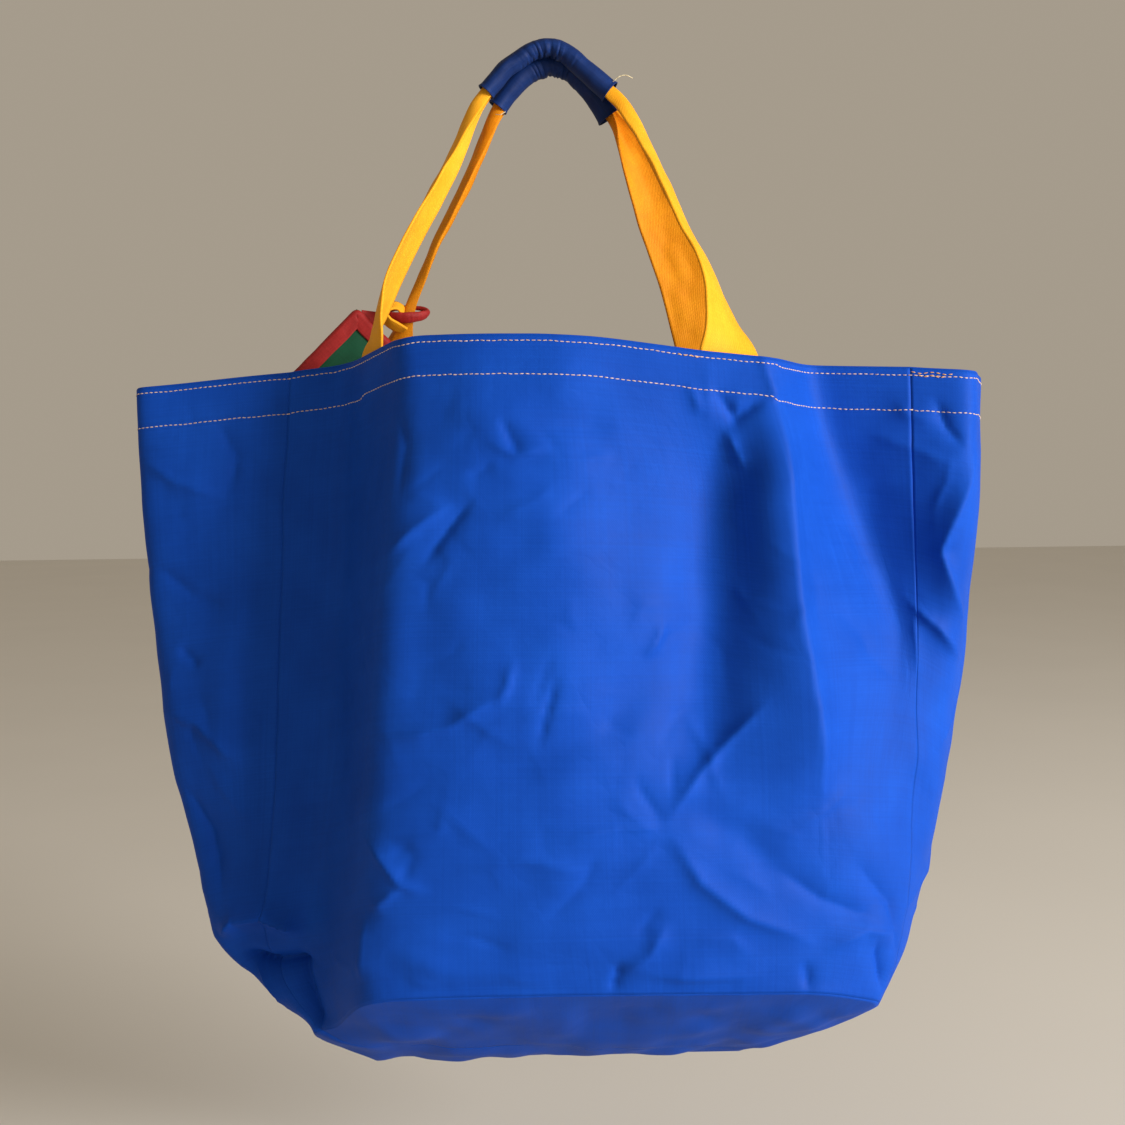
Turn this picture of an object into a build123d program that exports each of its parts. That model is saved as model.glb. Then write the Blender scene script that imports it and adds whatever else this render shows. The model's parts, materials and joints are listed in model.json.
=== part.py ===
"""Soft rope storage bag with two webbing handles, as it hangs from a peg. All lengths are in millimetres.

The origin is on top of the peg, under the grip of the back handle. +Z is up, +Y goes towards the wall behind the
bag and +X to the right of a person facing its front.
"""

import os
from math import cos, radians, sin

from build123d import *

# Cloth and webbing
PANEL = 1.2
FACING = 1.0
CLEARANCE = 0.1
HINGE_CLEARANCE = 0.4
HEM_HEIGHT = 25.0
WEBBING_WIDTH = 38.0
WEBBING = 1.6
TAB_LENGTH = 24.0

# Thread rows below the rim
THREAD_STAND = 0.35
THREAD_HEIGHT = 0.6
STITCH_DROPS = (3.0, 24.0)

# The rim: flat in the middle of the front, falling gently to the side folds, and lower along the back
FRONT_RIM_Z = -174.0
SIDE_RIM_Z = -165.0
RIM_FALL = 0.1
BACK_RIM_Z = -212.0
HEEL_FALL = 0.38
HEEL_STEEP = 2.2
WALLS_TOP_Z = -160.0

# The base hangs from its front seam down to the foot of the back panel, on this slope
BASE_FRONT = (-118.0, -544.0)
BASE_BACK = (18.0, -624.0)

# Corners of the wall in plan, in order round the bag, at each height
CORNERS = (
    "seam_l", "valley_l", "fold_l", "middle", "fold_r", "seam_r",
    "side_r", "heel_r", "spine_r", "spine_l", "heel_l", "side_l",
)
PLAN_AT_RIM = (
    (-163, -8), (-128, -20), (-88, -92), (4, -108), (127, -92), (201, -42),
    (266, 0), (266, 18), (212, 18), (-212, 18), (-262, 18), (-262, 4),
)
PLAN_AT_SHOULDER = (
    (-165, -15), (-135, -30), (-92, -108), (4, -122), (140, -100), (205, -55),
    (263, -5), (263, 18), (212, 18), (-212, 18), (-264, 18), (-264, 0),
)
PLAN_AT_BELLY = (
    (-175, -30), (-145, -48), (-105, -116), (4, -128), (150, -108), (203, -70),
    (243, -15), (243, 18), (205, 18), (-205, 18), (-248, 18), (-248, -8),
)
PLAN_AT_SEAM = (
    (-185, -60), (-150, -86), (-113, -116), (15, -118), (150, -116), (188, -92),
    (206, -40), (206, 18), (190, 18), (-190, 18), (-215, 18), (-215, -25),
)
PLAN_AT_FOOT = (
    (-142, -60), (-126, -84), (-104, -112), (15, -116), (135, -112), (148, -90),
    (156, -38), (154, 18), (140, 18), (-120, 18), (-134, 18), (-140, -25),
)
LEVELS = (
    (WALLS_TOP_Z, PLAN_AT_RIM),
    (FRONT_RIM_Z - HEM_HEIGHT, PLAN_AT_RIM),
    (-300.0, PLAN_AT_SHOULDER),
    (-440.0, PLAN_AT_BELLY),
    (BASE_FRONT[1], PLAN_AT_SEAM),
    (BASE_BACK[1] - 6, PLAN_AT_FOOT),
)

# Handles: both grips cross the peg, the front one on top of the back one
SLEEVE_DEPTH = 14.0
SLEEVE_HEIGHT = 11.4
CORE_DEPTH = 11.4
CORE_HEIGHT = 5.2
CORE_CLEARANCE = 0.2
FRONT_GRIP = {"y": -7.4, "left": (-36.5, -13), "crown_z": 29.7, "right": (40.7, -12), "radius": 28}
BACK_GRIP = {"y": 6.4, "left": (-32, -19), "crown_z": 19.0, "right": (36.5, -24.5), "radius": 22}

# Each handle bends on a line a little above the rim. The sewn ends stay with the wall, the rest is the free handle
BEND_GAP = 3.2
FRONT_BEND = ((-106, -56, -158), (103, -90, -162))
BACK_BEND = ((-93, 13, -138), (100, 13, -138))
FRONT_ENDS = (("valley_l", "fold_l", 0.5), ("middle", "fold_r", 0.815))
BACK_ENDS = (("spine_l", "spine_r", 0.25), ("spine_l", "spine_r", 0.74))
FOLDED = (17.0, 3.6)
GATHERED = (15.0, 4.0)

# Small bound pouch that hangs inside from a fabric loop round the back handle
POUCH_CORNER = (-124.0, -143.0)
POUCH_SHORT = 110.0
POUCH_LONG = 190.0
POUCH_SLOPE = 46
POUCH_Y = 5.0
POUCH_SHEET = 1.0
POUCH_GAP = 0.6
BINDING_WIDTH = 8.0
BINDING = 0.6
LOOP_CENTRE = (-94.5, 13.0, -149.5)
LOOP_RADII = (14.0, 8.6)
LOOP_CORD = 2.6
LOOP_TILT = 18.0
TAIL = (6.0, 1.4)
TAIL_END = (-121.0, 9.0, -147.0)


def outline(plan, depth):
    """Corner points of one level, moved inwards by depth along the mitre at each corner."""
    points = [Vector(x, y) for x, y in plan]
    moved = []
    for i, here in enumerate(points):
        before = (here - points[i - 1]).normalized()
        after = (points[(i + 1) % len(points)] - here).normalized()
        normal_before = Vector(-before.Y, before.X)
        normal_after = Vector(-after.Y, after.X)
        mitre = normal_before + normal_after
        moved.append(here + mitre * (2 * depth / mitre.dot(mitre)))
    return dict(zip(CORNERS, moved))


def strip_face(plan, names, outer_depth, inner_depth, gap):
    """Closed loop round the stretch of one level between two seams, gap short of each seam."""
    loop = []
    for depth in (outer_depth, inner_depth):
        corners = outline(plan, depth)
        points = [corners[name] for name in names]
        points[0] += (points[1] - points[0]).normalized() * gap
        points[-1] += (points[-2] - points[-1]).normalized() * gap
        loop.append(points)
    return loop[0] + loop[1][::-1]


def wall_strip(names, outer_depth, inner_depth, gap=CLEARANCE):
    """Thin wall between two seams, lofted through the levels."""
    with BuildPart() as strip:
        for z, plan in LEVELS:
            with BuildSketch(Plane.XY.offset(z)):
                with BuildLine():
                    Polyline(*strip_face(plan, names, outer_depth, inner_depth, gap), close=True)
                make_face()
        loft(ruled=True)
    return strip.part


def rim_planes(drop, place):
    """Planes that shape the rim, drop below it: level in the middle, falling to the sides, and lower at the back."""
    middle = BACK_RIM_Z if place == "back" else FRONT_RIM_Z
    planes = [Plane.XY.offset(middle - drop)]
    for side in (-1, 1):
        planes.append(Plane((0, 0, SIDE_RIM_Z - drop), z_dir=(side * RIM_FALL, 0, 1)))
    if place in ("left", "right"):
        side = -1 if place == "left" else 1
        spine = (side * PLAN_AT_RIM[8][0], PLAN_AT_RIM[8][1], BACK_RIM_Z - drop)
        planes.append(Plane(spine, z_dir=(-side * HEEL_FALL, HEEL_STEEP, 1)))
    return planes


def base_plane(lift):
    """Sloping plane that the base lies on, raised square to itself by lift."""
    run = BASE_BACK[0] - BASE_FRONT[0]
    fall = BASE_BACK[1] - BASE_FRONT[1]
    plane = Plane(origin=(0, *BASE_FRONT), x_dir=(1, 0, 0), z_dir=(0, -fall, run))
    return plane.offset(lift)


def band(names, outer_depth, inner_depth, top_drop, low_drop, place, gap):
    """The part of a wall strip below the rim: down to the base seam, or only between two drops."""
    with BuildPart() as piece:
        add(wall_strip(names, outer_depth, inner_depth, gap))
        for plane in rim_planes(top_drop, place):
            split(bisect_by=plane, keep=Keep.BOTTOM)
        split(bisect_by=base_plane(gap), keep=Keep.TOP)
    if low_drop is None:
        return piece
    with BuildPart() as below:
        add(piece.part)
        for plane in rim_planes(low_drop, place):
            split(bisect_by=plane, keep=Keep.BOTTOM)
    with BuildPart() as ring:
        add(piece.part)
        add(below.part, mode=Mode.SUBTRACT)
    return ring


def save(name, piece):
    """Labels a finished piece and writes its STEP file."""
    piece.part.label = name
    export_step(piece.part, f"parts/{name}.step")


def make_walls():
    """Front and back panels and the two gussets, cut to the rim, with their turned-in hems and thread rows."""
    spans = {
        "front": (CORNERS[0:6], HINGE_CLEARANCE),
        "right": (CORNERS[5:9], CLEARANCE),
        "back": (CORNERS[8:10], CLEARANCE),
        "left": (CORNERS[9:12] + CORNERS[0:1], CLEARANCE),
    }
    for side, (names, gap) in spans.items():
        shape = {"place": side, "gap": gap}
        wall = band(names, 0, PANEL, 0, None, **shape)
        save(f"{side}_gusset" if side in ("left", "right") else f"{side}_panel", wall)
        facing_from = PANEL + CLEARANCE / 2
        save(f"{side}_hem_facing", band(names, facing_from, facing_from + FACING, 0.2, HEM_HEIGHT, **shape))
        with BuildPart() as rows:
            for drop in STITCH_DROPS:
                thread_from = -CLEARANCE / 2 - THREAD_STAND
                row = band(names, thread_from, -CLEARANCE / 2, drop, drop + THREAD_HEIGHT, **shape)
                add(row.part)
        save(f"{side}_rim_stitching", rows)


def make_base():
    """Base panel: the slice of the whole bag's outline just below the sloping plane."""
    with BuildPart() as base:
        for z, plan in LEVELS:
            with BuildSketch(Plane.XY.offset(z)):
                with BuildLine():
                    Polyline(*outline(plan, 0).values(), close=True)
                make_face()
        loft(ruled=True)
        split(bisect_by=base_plane(0), keep=Keep.BOTTOM)
        split(bisect_by=base_plane(-PANEL), keep=Keep.TOP)
    save("base_panel", base)


def grip_path(grip):
    """Centre line of a grip: two straight legs over a rounded crown, in the plane of constant Y."""
    left, right = grip["left"], grip["right"]
    middle_x = (left[0] + right[0]) / 2
    y = grip["y"]
    points = ((left[0], y, left[1]), (middle_x, y, grip["crown_z"]), (right[0], y, right[1]))
    return FilletPolyline(*points, radius=grip["radius"])


def section(centre, along, across, width, thickness):
    """Rectangle of webbing at centre, square to along, with its width as near to across as it can be."""
    plane = Plane(origin=centre, x_dir=across, z_dir=along)
    with BuildSketch(plane) as face:
        Rectangle(width, thickness)
    return face.sketch


def strand(start, start_along, start_across, start_size, end, end_along, end_across, end_size):
    """Free stretch of webbing between two sections."""
    with BuildPart() as piece:
        add(section(start, start_along, start_across, *start_size))
        add(section(end, end_along, end_across, *end_size))
        loft(ruled=True)
    return piece.part


def make_handle(side, grip, bend):
    """Webbing that runs from bend line to bend line through its cloth grip sleeve, and the sleeve."""
    with BuildLine() as line:
        grip_path(grip)
    path = line.line
    fold = (Vector(bend[1]) - Vector(bend[0])).normalized()
    with BuildPart() as core:
        with BuildSketch(Plane(origin=path @ 0, x_dir=(0, 1, 0), z_dir=path % 0)):
            Rectangle(CORE_DEPTH, CORE_HEIGHT)
        sweep(path=path)
    with BuildPart() as webbing:
        add(core.part)
        for foot, end in zip(bend, (0, 1)):
            top = path @ end
            along = (top - Vector(foot)).normalized()
            tangent = (path % end) * (1 if end == 0 else -1)
            low = Vector(foot) + along * BEND_GAP
            middle = low + (top - low) * 0.5
            add(strand(low, along, fold, FOLDED, middle, along, (1, 0.35, 0), GATHERED))
            add(strand(middle, along, (1, 0.35, 0), GATHERED, top, tangent, (0, 1, 0), (CORE_DEPTH, CORE_HEIGHT)))
    save(f"{side}_handle_webbing", webbing)
    with BuildPart() as sleeve:
        start = Plane(origin=path @ 0, x_dir=(0, 1, 0), z_dir=path % 0)
        with BuildSketch(start):
            Ellipse(SLEEVE_DEPTH / 2, SLEEVE_HEIGHT / 2)
            Rectangle(CORE_DEPTH + CORE_CLEARANCE, CORE_HEIGHT + CORE_CLEARANCE, mode=Mode.SUBTRACT)
        sweep(path=path)
    save(f"{side}_grip_sleeve", sleeve)


def sewn_place(end, drop, depth, rim_z):
    """Point and direction along the wall at a sewn end, drop below the rim and depth inside the outer face."""
    corner, other, share = end
    corners = outline(PLAN_AT_RIM, depth)
    across = (corners[other] - corners[corner]).normalized()
    point = corners[corner] + (corners[other] - corners[corner]) * share
    return Vector(point.X, point.Y, rim_z - drop), across


def make_sewn_ends(side, ends, bend, rim_z):
    """The ends of one handle's webbing: a tab sewn flat inside the hem, and the stub that rises to the bend line."""
    sewn = (WEBBING_WIDTH, WEBBING)
    tab_depth = PANEL + FACING + CLEARANCE + WEBBING / 2
    thread_depth = tab_depth + WEBBING / 2 + CLEARANCE / 2 + THREAD_STAND / 2
    fold = (Vector(bend[1]) - Vector(bend[0])).normalized()
    for label, end, foot in zip(("left", "right"), ends, bend):
        top = Vector(foot) - Vector(0, 0, BEND_GAP)
        low_point, across = sewn_place(end, TAB_LENGTH, tab_depth, rim_z)
        rim_point, across = sewn_place(end, 0, tab_depth, rim_z)
        up = (0, 0, 1)
        with BuildPart() as piece:
            add(section(low_point, up, across, *sewn))
            add(section(rim_point, up, across, *sewn))
            loft(ruled=True)
            add(strand(rim_point, up, across, sewn, top, up, fold, FOLDED))
        save(f"{side}_handle_{label}_end", piece)
    with BuildPart() as tacks:
        for end in ends:
            for drop in (5.0, TAB_LENGTH - 3.0):
                centre, across = sewn_place(end, drop, thread_depth, rim_z)
                with BuildSketch(Plane(origin=centre, x_dir=across, z_dir=(0, 0, 1))):
                    Rectangle(WEBBING_WIDTH - 6, THREAD_STAND)
                extrude(amount=THREAD_HEIGHT)
    save(f"{side}_tack_stitching", tacks)


def pouch_plane(y):
    """Plane of the pouch at depth y, with its corner at the origin, X down its long edge and Y down its short one."""
    along = Vector(cos(radians(POUCH_SLOPE)), 0, -sin(radians(POUCH_SLOPE)))
    return Plane(origin=(POUCH_CORNER[0], y, POUCH_CORNER[1]), x_dir=along, z_dir=(0, 1, 0))


def make_pouch():
    """Two cloth sheets with a bound edge, and the tape loop that carries them."""
    reach = POUCH_SHEET + POUCH_GAP / 2
    for name, y in (("front", POUCH_Y - reach), ("back", POUCH_Y + POUCH_GAP / 2)):
        with BuildPart() as sheet:
            with BuildSketch(pouch_plane(y)):
                Rectangle(POUCH_LONG, POUCH_SHORT, align=Align.MIN)
            extrude(amount=POUCH_SHEET)
        save(f"pouch_{name}_sheet", sheet)
    with BuildPart() as binding:
        with BuildSketch(pouch_plane(POUCH_Y - reach - BINDING)):
            with Locations((-BINDING, -BINDING)):
                Rectangle(POUCH_LONG + 2 * BINDING, POUCH_SHORT + 2 * BINDING, align=Align.MIN)
            with Locations((BINDING_WIDTH, BINDING_WIDTH)):
                window = (POUCH_LONG - 2 * BINDING_WIDTH, POUCH_SHORT - 2 * BINDING_WIDTH)
                Rectangle(*window, align=Align.MIN, mode=Mode.SUBTRACT)
        extrude(amount=2 * (reach + BINDING))
        with BuildSketch(pouch_plane(POUCH_Y - reach)):
            Rectangle(POUCH_LONG, POUCH_SHORT, align=Align.MIN)
        extrude(amount=2 * reach, mode=Mode.SUBTRACT)
    save("pouch_binding", binding)


def make_pouch_loop():
    """Stuffed tape ring round the gathered webbing, tipped towards the front."""
    tilt = radians(LOOP_TILT)
    plane = Plane(origin=LOOP_CENTRE, x_dir=(1, 0, 0), z_dir=(0, -sin(tilt), cos(tilt)))
    with BuildPart() as loop:
        with BuildLine(plane) as line:
            EllipticalCenterArc((0, 0), *LOOP_RADII, arc_size=360)
        path = line.line
        with BuildSketch(Plane(origin=path @ 0, z_dir=path % 0)):
            Circle(LOOP_CORD)
        sweep(path=path)
    save("pouch_loop", loop)
    ring_side = Vector(LOOP_CENTRE) - Vector(LOOP_RADII[0] + LOOP_CORD + 0.8, 0, 0)
    along = (ring_side - Vector(TAIL_END)).normalized()
    with BuildPart() as tail:
        add(strand(TAIL_END, along, (0, 0, 1), TAIL, ring_side, along, (0, 0, 1), TAIL))
    save("pouch_loop_tail", tail)


os.makedirs("parts", exist_ok=True)
make_walls()
make_base()
make_handle("front", FRONT_GRIP, FRONT_BEND)
make_handle("back", BACK_GRIP, BACK_BEND)
make_sewn_ends("front", FRONT_ENDS, FRONT_BEND, FRONT_RIM_Z)
make_sewn_ends("back", BACK_ENDS, BACK_BEND, BACK_RIM_Z)
make_pouch()
make_pouch_loop()
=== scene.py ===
"""Looks of a soft rope storage bag that hangs by its two webbing handles.

The bag is a sewn tote of coated cloth: front and back panels, two gussets and a base, a turned-in rim hem
with two rows of thread, webbing handles that end in tabs behind the hem, gathered cloth grips over the peg,
and a small bound pouch that hangs inside from a stuffed loop. Shapes are worked out in millimetres in the
row frame, and meshes are made in metres.
"""

import json
import logging
import math
from dataclasses import dataclass, field
from enum import Enum
from typing import Optional, Sequence

import bpy
import numpy as np
from mathutils import Matrix, Vector

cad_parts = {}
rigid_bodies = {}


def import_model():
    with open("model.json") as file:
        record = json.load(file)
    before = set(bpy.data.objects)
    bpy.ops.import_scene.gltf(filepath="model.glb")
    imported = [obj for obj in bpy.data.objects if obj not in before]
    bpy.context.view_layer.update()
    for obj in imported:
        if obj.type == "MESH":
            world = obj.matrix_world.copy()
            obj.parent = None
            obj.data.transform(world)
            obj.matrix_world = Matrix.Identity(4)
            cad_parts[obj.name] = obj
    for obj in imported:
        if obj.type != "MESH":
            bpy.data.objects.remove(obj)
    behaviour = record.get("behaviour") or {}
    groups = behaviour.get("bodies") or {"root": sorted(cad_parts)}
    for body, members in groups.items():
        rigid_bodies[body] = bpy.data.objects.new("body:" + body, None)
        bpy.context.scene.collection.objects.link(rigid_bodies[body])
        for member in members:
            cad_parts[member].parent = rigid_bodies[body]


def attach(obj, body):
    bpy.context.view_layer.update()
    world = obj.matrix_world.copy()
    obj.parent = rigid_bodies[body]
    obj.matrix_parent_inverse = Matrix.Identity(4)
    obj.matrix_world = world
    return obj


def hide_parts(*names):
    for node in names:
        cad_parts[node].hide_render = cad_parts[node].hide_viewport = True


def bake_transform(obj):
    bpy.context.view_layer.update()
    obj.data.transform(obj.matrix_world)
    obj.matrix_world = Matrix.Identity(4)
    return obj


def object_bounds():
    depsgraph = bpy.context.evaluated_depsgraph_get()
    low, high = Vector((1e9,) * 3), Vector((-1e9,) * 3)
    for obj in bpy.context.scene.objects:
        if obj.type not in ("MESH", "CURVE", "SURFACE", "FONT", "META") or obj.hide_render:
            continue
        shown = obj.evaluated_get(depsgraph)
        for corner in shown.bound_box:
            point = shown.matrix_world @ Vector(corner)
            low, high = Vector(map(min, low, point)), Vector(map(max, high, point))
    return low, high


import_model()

CAD_BOX: list[list[float]] = [list(corner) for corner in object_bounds()]
LOG = logging.getLogger("rope_bag")
MM = 0.001
RING_END = 14.0
BACK_Y = 18.0


class Side(Enum):
    """Which wall of the bag a piece belongs to."""

    FRONT = "front"
    RIGHT = "right"
    BACK = "back"
    LEFT = "left"


class Slot(Enum):
    """Material slots of the record, passed along with the pieces' finishes."""

    CLOTH = "blue_cloth"
    GRIP = "grip_cloth"
    WEBBING = "webbing"
    THREAD = "thread"
    TAPE = "tape"
    POUCH = "pouch_cloth"


# ---------------------------------------------------------------------- shader building


class Socket:
    """A value on its way through a shader tree, with arithmetic that adds Math nodes."""

    def __init__(self, shader: "ShaderTree", output: bpy.types.NodeSocket) -> None:
        """Wraps one output of a node in the given tree."""
        self.shader = shader
        self.output = output

    def math(self, operation: str, *others: "Socket | float") -> "Socket":
        """Runs this value through a Math node.

        Args:
            operation: the Math node's operation.
            others: its second and third values.

        Returns:
            The node's result.
        """
        node = self.shader.node("ShaderNodeMath", operation=operation)
        self.shader.join(self, node.inputs[0])
        for place, other in enumerate(others, start=1):
            self.shader.join(other, node.inputs[place])
        return Socket(self.shader, node.outputs[0])

    def __add__(self, other: "Socket | float") -> "Socket":
        """This value plus another."""
        return self.math("ADD", other)

    def __sub__(self, other: "Socket | float") -> "Socket":
        """This value minus another."""
        return self.math("SUBTRACT", other)

    def __mul__(self, other: "Socket | float") -> "Socket":
        """This value times another."""
        return self.math("MULTIPLY", other)

    def __radd__(self, other: float) -> "Socket":
        """A number plus this value."""
        return self + other

    def __rsub__(self, other: float) -> "Socket":
        """A number minus this value."""
        return self.math("MULTIPLY_ADD", -1.0, other)

    def __rmul__(self, other: float) -> "Socket":
        """A number times this value."""
        return self * other

    def sine(self) -> "Socket":
        """Sine of this value, in radians."""
        return self.math("SINE")

    def clamp(self) -> "Socket":
        """This value held between 0 and 1."""
        node = self.shader.node("ShaderNodeClamp")
        self.shader.join(self, node.inputs["Value"])
        return Socket(self.shader, node.outputs[0])


class ShaderTree:
    """A material's node tree with one generic way to add a node."""

    def __init__(self, name: str) -> None:
        """Makes a material with an empty tree, a Principled shader and its output.

        Args:
            name: the material's name.
        """
        self.material = bpy.data.materials.new(name)
        self.material.use_nodes = True
        self.tree = self.material.node_tree
        self.tree.nodes.clear()
        self.shader = self.node("ShaderNodeBsdfPrincipled")
        output = self.node("ShaderNodeOutputMaterial")
        self.tree.links.new(self.shader.outputs["BSDF"], output.inputs["Surface"])

    def node(self, kind: str, inputs: Optional[dict] = None, **settings: object) -> bpy.types.Node:
        """Adds one node.

        Args:
            kind: the node's type name.
            inputs: input name to a Socket or a constant.
            settings: attributes to set on the node.

        Returns:
            The new node.
        """
        made = self.tree.nodes.new(kind)
        for attribute, value in settings.items():
            setattr(made, attribute, value)
        for name, value in (inputs or {}).items():
            self.join(value, made.inputs[name])
        return made

    def join(self, value: "Socket | float | Sequence[float]", target: bpy.types.NodeSocket) -> None:
        """Links a Socket to an input, or sets a constant on it."""
        if isinstance(value, Socket):
            self.tree.links.new(value.output, target)
        else:
            target.default_value = value

    def cloth_axes(self) -> tuple[Socket, Socket]:
        """The piece's own UV map in metres, as across and along."""
        coordinates = self.node("ShaderNodeUVMap", uv_map="cloth")
        split = self.node("ShaderNodeSeparateXYZ")
        self.tree.links.new(coordinates.outputs["UV"], split.inputs[0])
        return Socket(self, split.outputs["X"]), Socket(self, split.outputs["Y"])

    def place(self, x: "Socket | float", y: "Socket | float", z: "Socket | float" = 0.0) -> Socket:
        """Three values joined as one coordinate."""
        joined = self.node("ShaderNodeCombineXYZ", {"X": x, "Y": y, "Z": z})
        return Socket(self, joined.outputs[0])

    def object_place(self) -> Socket:
        """The point on the piece, in metres in the row frame."""
        return Socket(self, self.node("ShaderNodeTexCoord").outputs["Object"])

    def noise(self, where: Socket, scale: float, detail: float = 3.0, rough: float = 0.5) -> Socket:
        """Noise from 0 to 1 at a place.

        Args:
            where: the coordinate.
            scale: cells per metre.
            detail: octaves.
            rough: how strong the fine octaves are.

        Returns:
            The noise value.
        """
        inputs = {"Vector": where, "Scale": scale, "Detail": detail, "Roughness": rough}
        return Socket(self, self.node("ShaderNodeTexNoise", inputs).outputs["Fac"])

    def ramp(self, value: Socket, stops: Sequence[tuple[float, Sequence[float]]]) -> Socket:
        """Looks a colour up along a ramp.

        Args:
            value: where on the ramp, from 0 to 1.
            stops: each stop's position and colour.

        Returns:
            The colour.
        """
        node = self.node("ShaderNodeValToRGB", {"Fac": value})
        elements = node.color_ramp.elements
        while len(elements) < len(stops):
            elements.new(0.5)
        for element, (position, colour) in zip(elements, stops):
            element.position = position
            element.color = (*colour, 1.0)
        return Socket(self, node.outputs["Color"])

    def bump(self, height: Socket, distance: float, strength: float = 1.0) -> None:
        """Bends the shader's normal by a height in units of distance, in metres."""
        inputs = {"Height": height, "Distance": distance, "Strength": strength}
        node = self.node("ShaderNodeBump", inputs)
        self.tree.links.new(node.outputs["Normal"], self.shader.inputs["Normal"])

    def set(self, **values: "Socket | float | Sequence[float]") -> None:
        """Sets or links the Principled shader's inputs, named with underscores for spaces."""
        for name, value in values.items():
            self.join(value, self.shader.inputs[name.replace("_", " ").title().replace("Ior", "IOR")])


@dataclass(frozen=True)
class WovenFinish:
    """A woven cloth finish: thread colours, the weave's pitch and its gloss.

    Blotches, slubs and crumples are noise with the given cells per metre. Creases is the depth of the fine
    hard creases in millimetres.
    """

    name: str
    dark: tuple[float, float, float]
    base: tuple[float, float, float]
    light: tuple[float, float, float]
    pitch: float
    thread_height: float
    roughness: float
    gloss: float = 0.35
    twill: float = 0.0
    blotch: float = 18.0
    creases: float = 0.0
    slub_long: float = 6.0
    slub_fine: float = 900.0
    crumple: float = 160.0

    def material(self) -> bpy.types.Material:
        """Builds the finish.

        Returns:
            A material that reads the piece's cloth UV map, in metres.
        """
        shader = ShaderTree(self.name)
        across, along = shader.cloth_axes()
        turn = 2.0 * math.pi / self.pitch
        skew = along * self.twill
        weft = ((across + skew) * turn).sine()
        warp = (along * turn).sine()
        weave = 0.5 + weft * warp * 0.5
        slub_across = shader.noise(shader.place(across * self.slub_long, along * self.slub_fine), 1.0, 2.0)
        slub_along = shader.noise(shader.place(across * self.slub_fine, along * self.slub_long), 1.0, 2.0)
        slubs = (slub_across + slub_along) * 0.5
        blotches = shader.noise(shader.place(across, along), self.blotch, 4.0, 0.6)
        tone = 0.45 * blotches + 0.40 * slubs + 0.15 * weave
        colour = shader.ramp(tone, ((0.30, self.dark), (0.52, self.base), (0.74, self.light)))
        rough = 0.22 * (blotches - 0.5) + 0.25 * (slubs - 0.5) + self.roughness
        shader.set(base_color=colour, roughness=rough.clamp(), specular_ior_level=self.gloss)
        crumples = shader.noise(shader.place(across, along), self.crumple, 5.0, 0.62)
        relief = 0.55 * weave + 0.55 * slubs + 1.3 * crumples
        if self.creases:
            relief = relief - self.creased(shader, across, along) * (self.creases / self.thread_height * MM)
        shader.bump(relief, self.thread_height)
        return shader.material

    def creased(self, shader: ShaderTree, across: Socket, along: Socket) -> Socket:
        """Presses fine hard creases into stiff coated cloth.

        Args:
            shader: the tree to build in.
            across: cloth length across.
            along: cloth length along.

        Returns:
            The depth of the creases, below 1.
        """
        wander = shader.noise(shader.place(across, along), 14.0, 3.0)
        total = None
        for scale, share in ((15.0, 0.55), (34.0, 0.30)):
            where = shader.place(across * scale + wander * 2.2, along * scale * 0.8 + wander * 1.7)
            inputs = {"Vector": where, "Scale": 1.0}
            cells = shader.node("ShaderNodeTexVoronoi", inputs, feature="DISTANCE_TO_EDGE")
            edge = (Socket(shader, cells.outputs["Distance"]) * 5.0).clamp()
            patch = (shader.noise(where, 0.6, 1.0) - 0.38).clamp() * 3.0
            layer = (1.0 - edge) * patch.clamp() * share
            total = layer if total is None else total + layer
        return total


@dataclass(frozen=True)
class ThreadFinish:
    """Twisted sewing thread, with its strands' turns per metre in radians."""

    name: str
    base: tuple[float, float, float]
    light: tuple[float, float, float]
    strands: float = 2200.0
    twist_height: float = 0.15 * MM

    def material(self) -> bpy.types.Material:
        """Builds the finish.

        Returns:
            A material with a fine diagonal twist and a soft variation in tone.
        """
        shader = ShaderTree(self.name)
        where = shader.object_place()
        split = shader.node("ShaderNodeSeparateXYZ")
        shader.join(where, split.inputs[0])
        x, y, z = (Socket(shader, output) for output in split.outputs)
        twist = ((x + y + z) * self.strands).sine() * 0.5 + 0.5
        tone = shader.noise(where, 220.0, 2.0) * 0.6 + twist * 0.4
        shader.set(base_color=shader.ramp(tone, ((0.25, self.base), (0.75, self.light))))
        shader.set(roughness=(tone * 0.2 + 0.5).clamp(), sheen_weight=0.4)
        shader.bump(twist, self.twist_height)
        return shader.material


@dataclass(frozen=True)
class FloorFinish:
    """Plain pale floor."""

    name: str
    base: tuple[float, float, float]

    def material(self) -> bpy.types.Material:
        """Builds the finish.

        Returns:
            A matt material with a faint change in tone.
        """
        shader = ShaderTree(self.name)
        tone = shader.noise(shader.object_place(), 3.0, 2.0)
        dark = tuple(channel * 0.97 for channel in self.base)
        shader.set(base_color=shader.ramp(tone, ((0.2, dark), (0.8, self.base))), roughness=0.85)
        return shader.material


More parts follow.
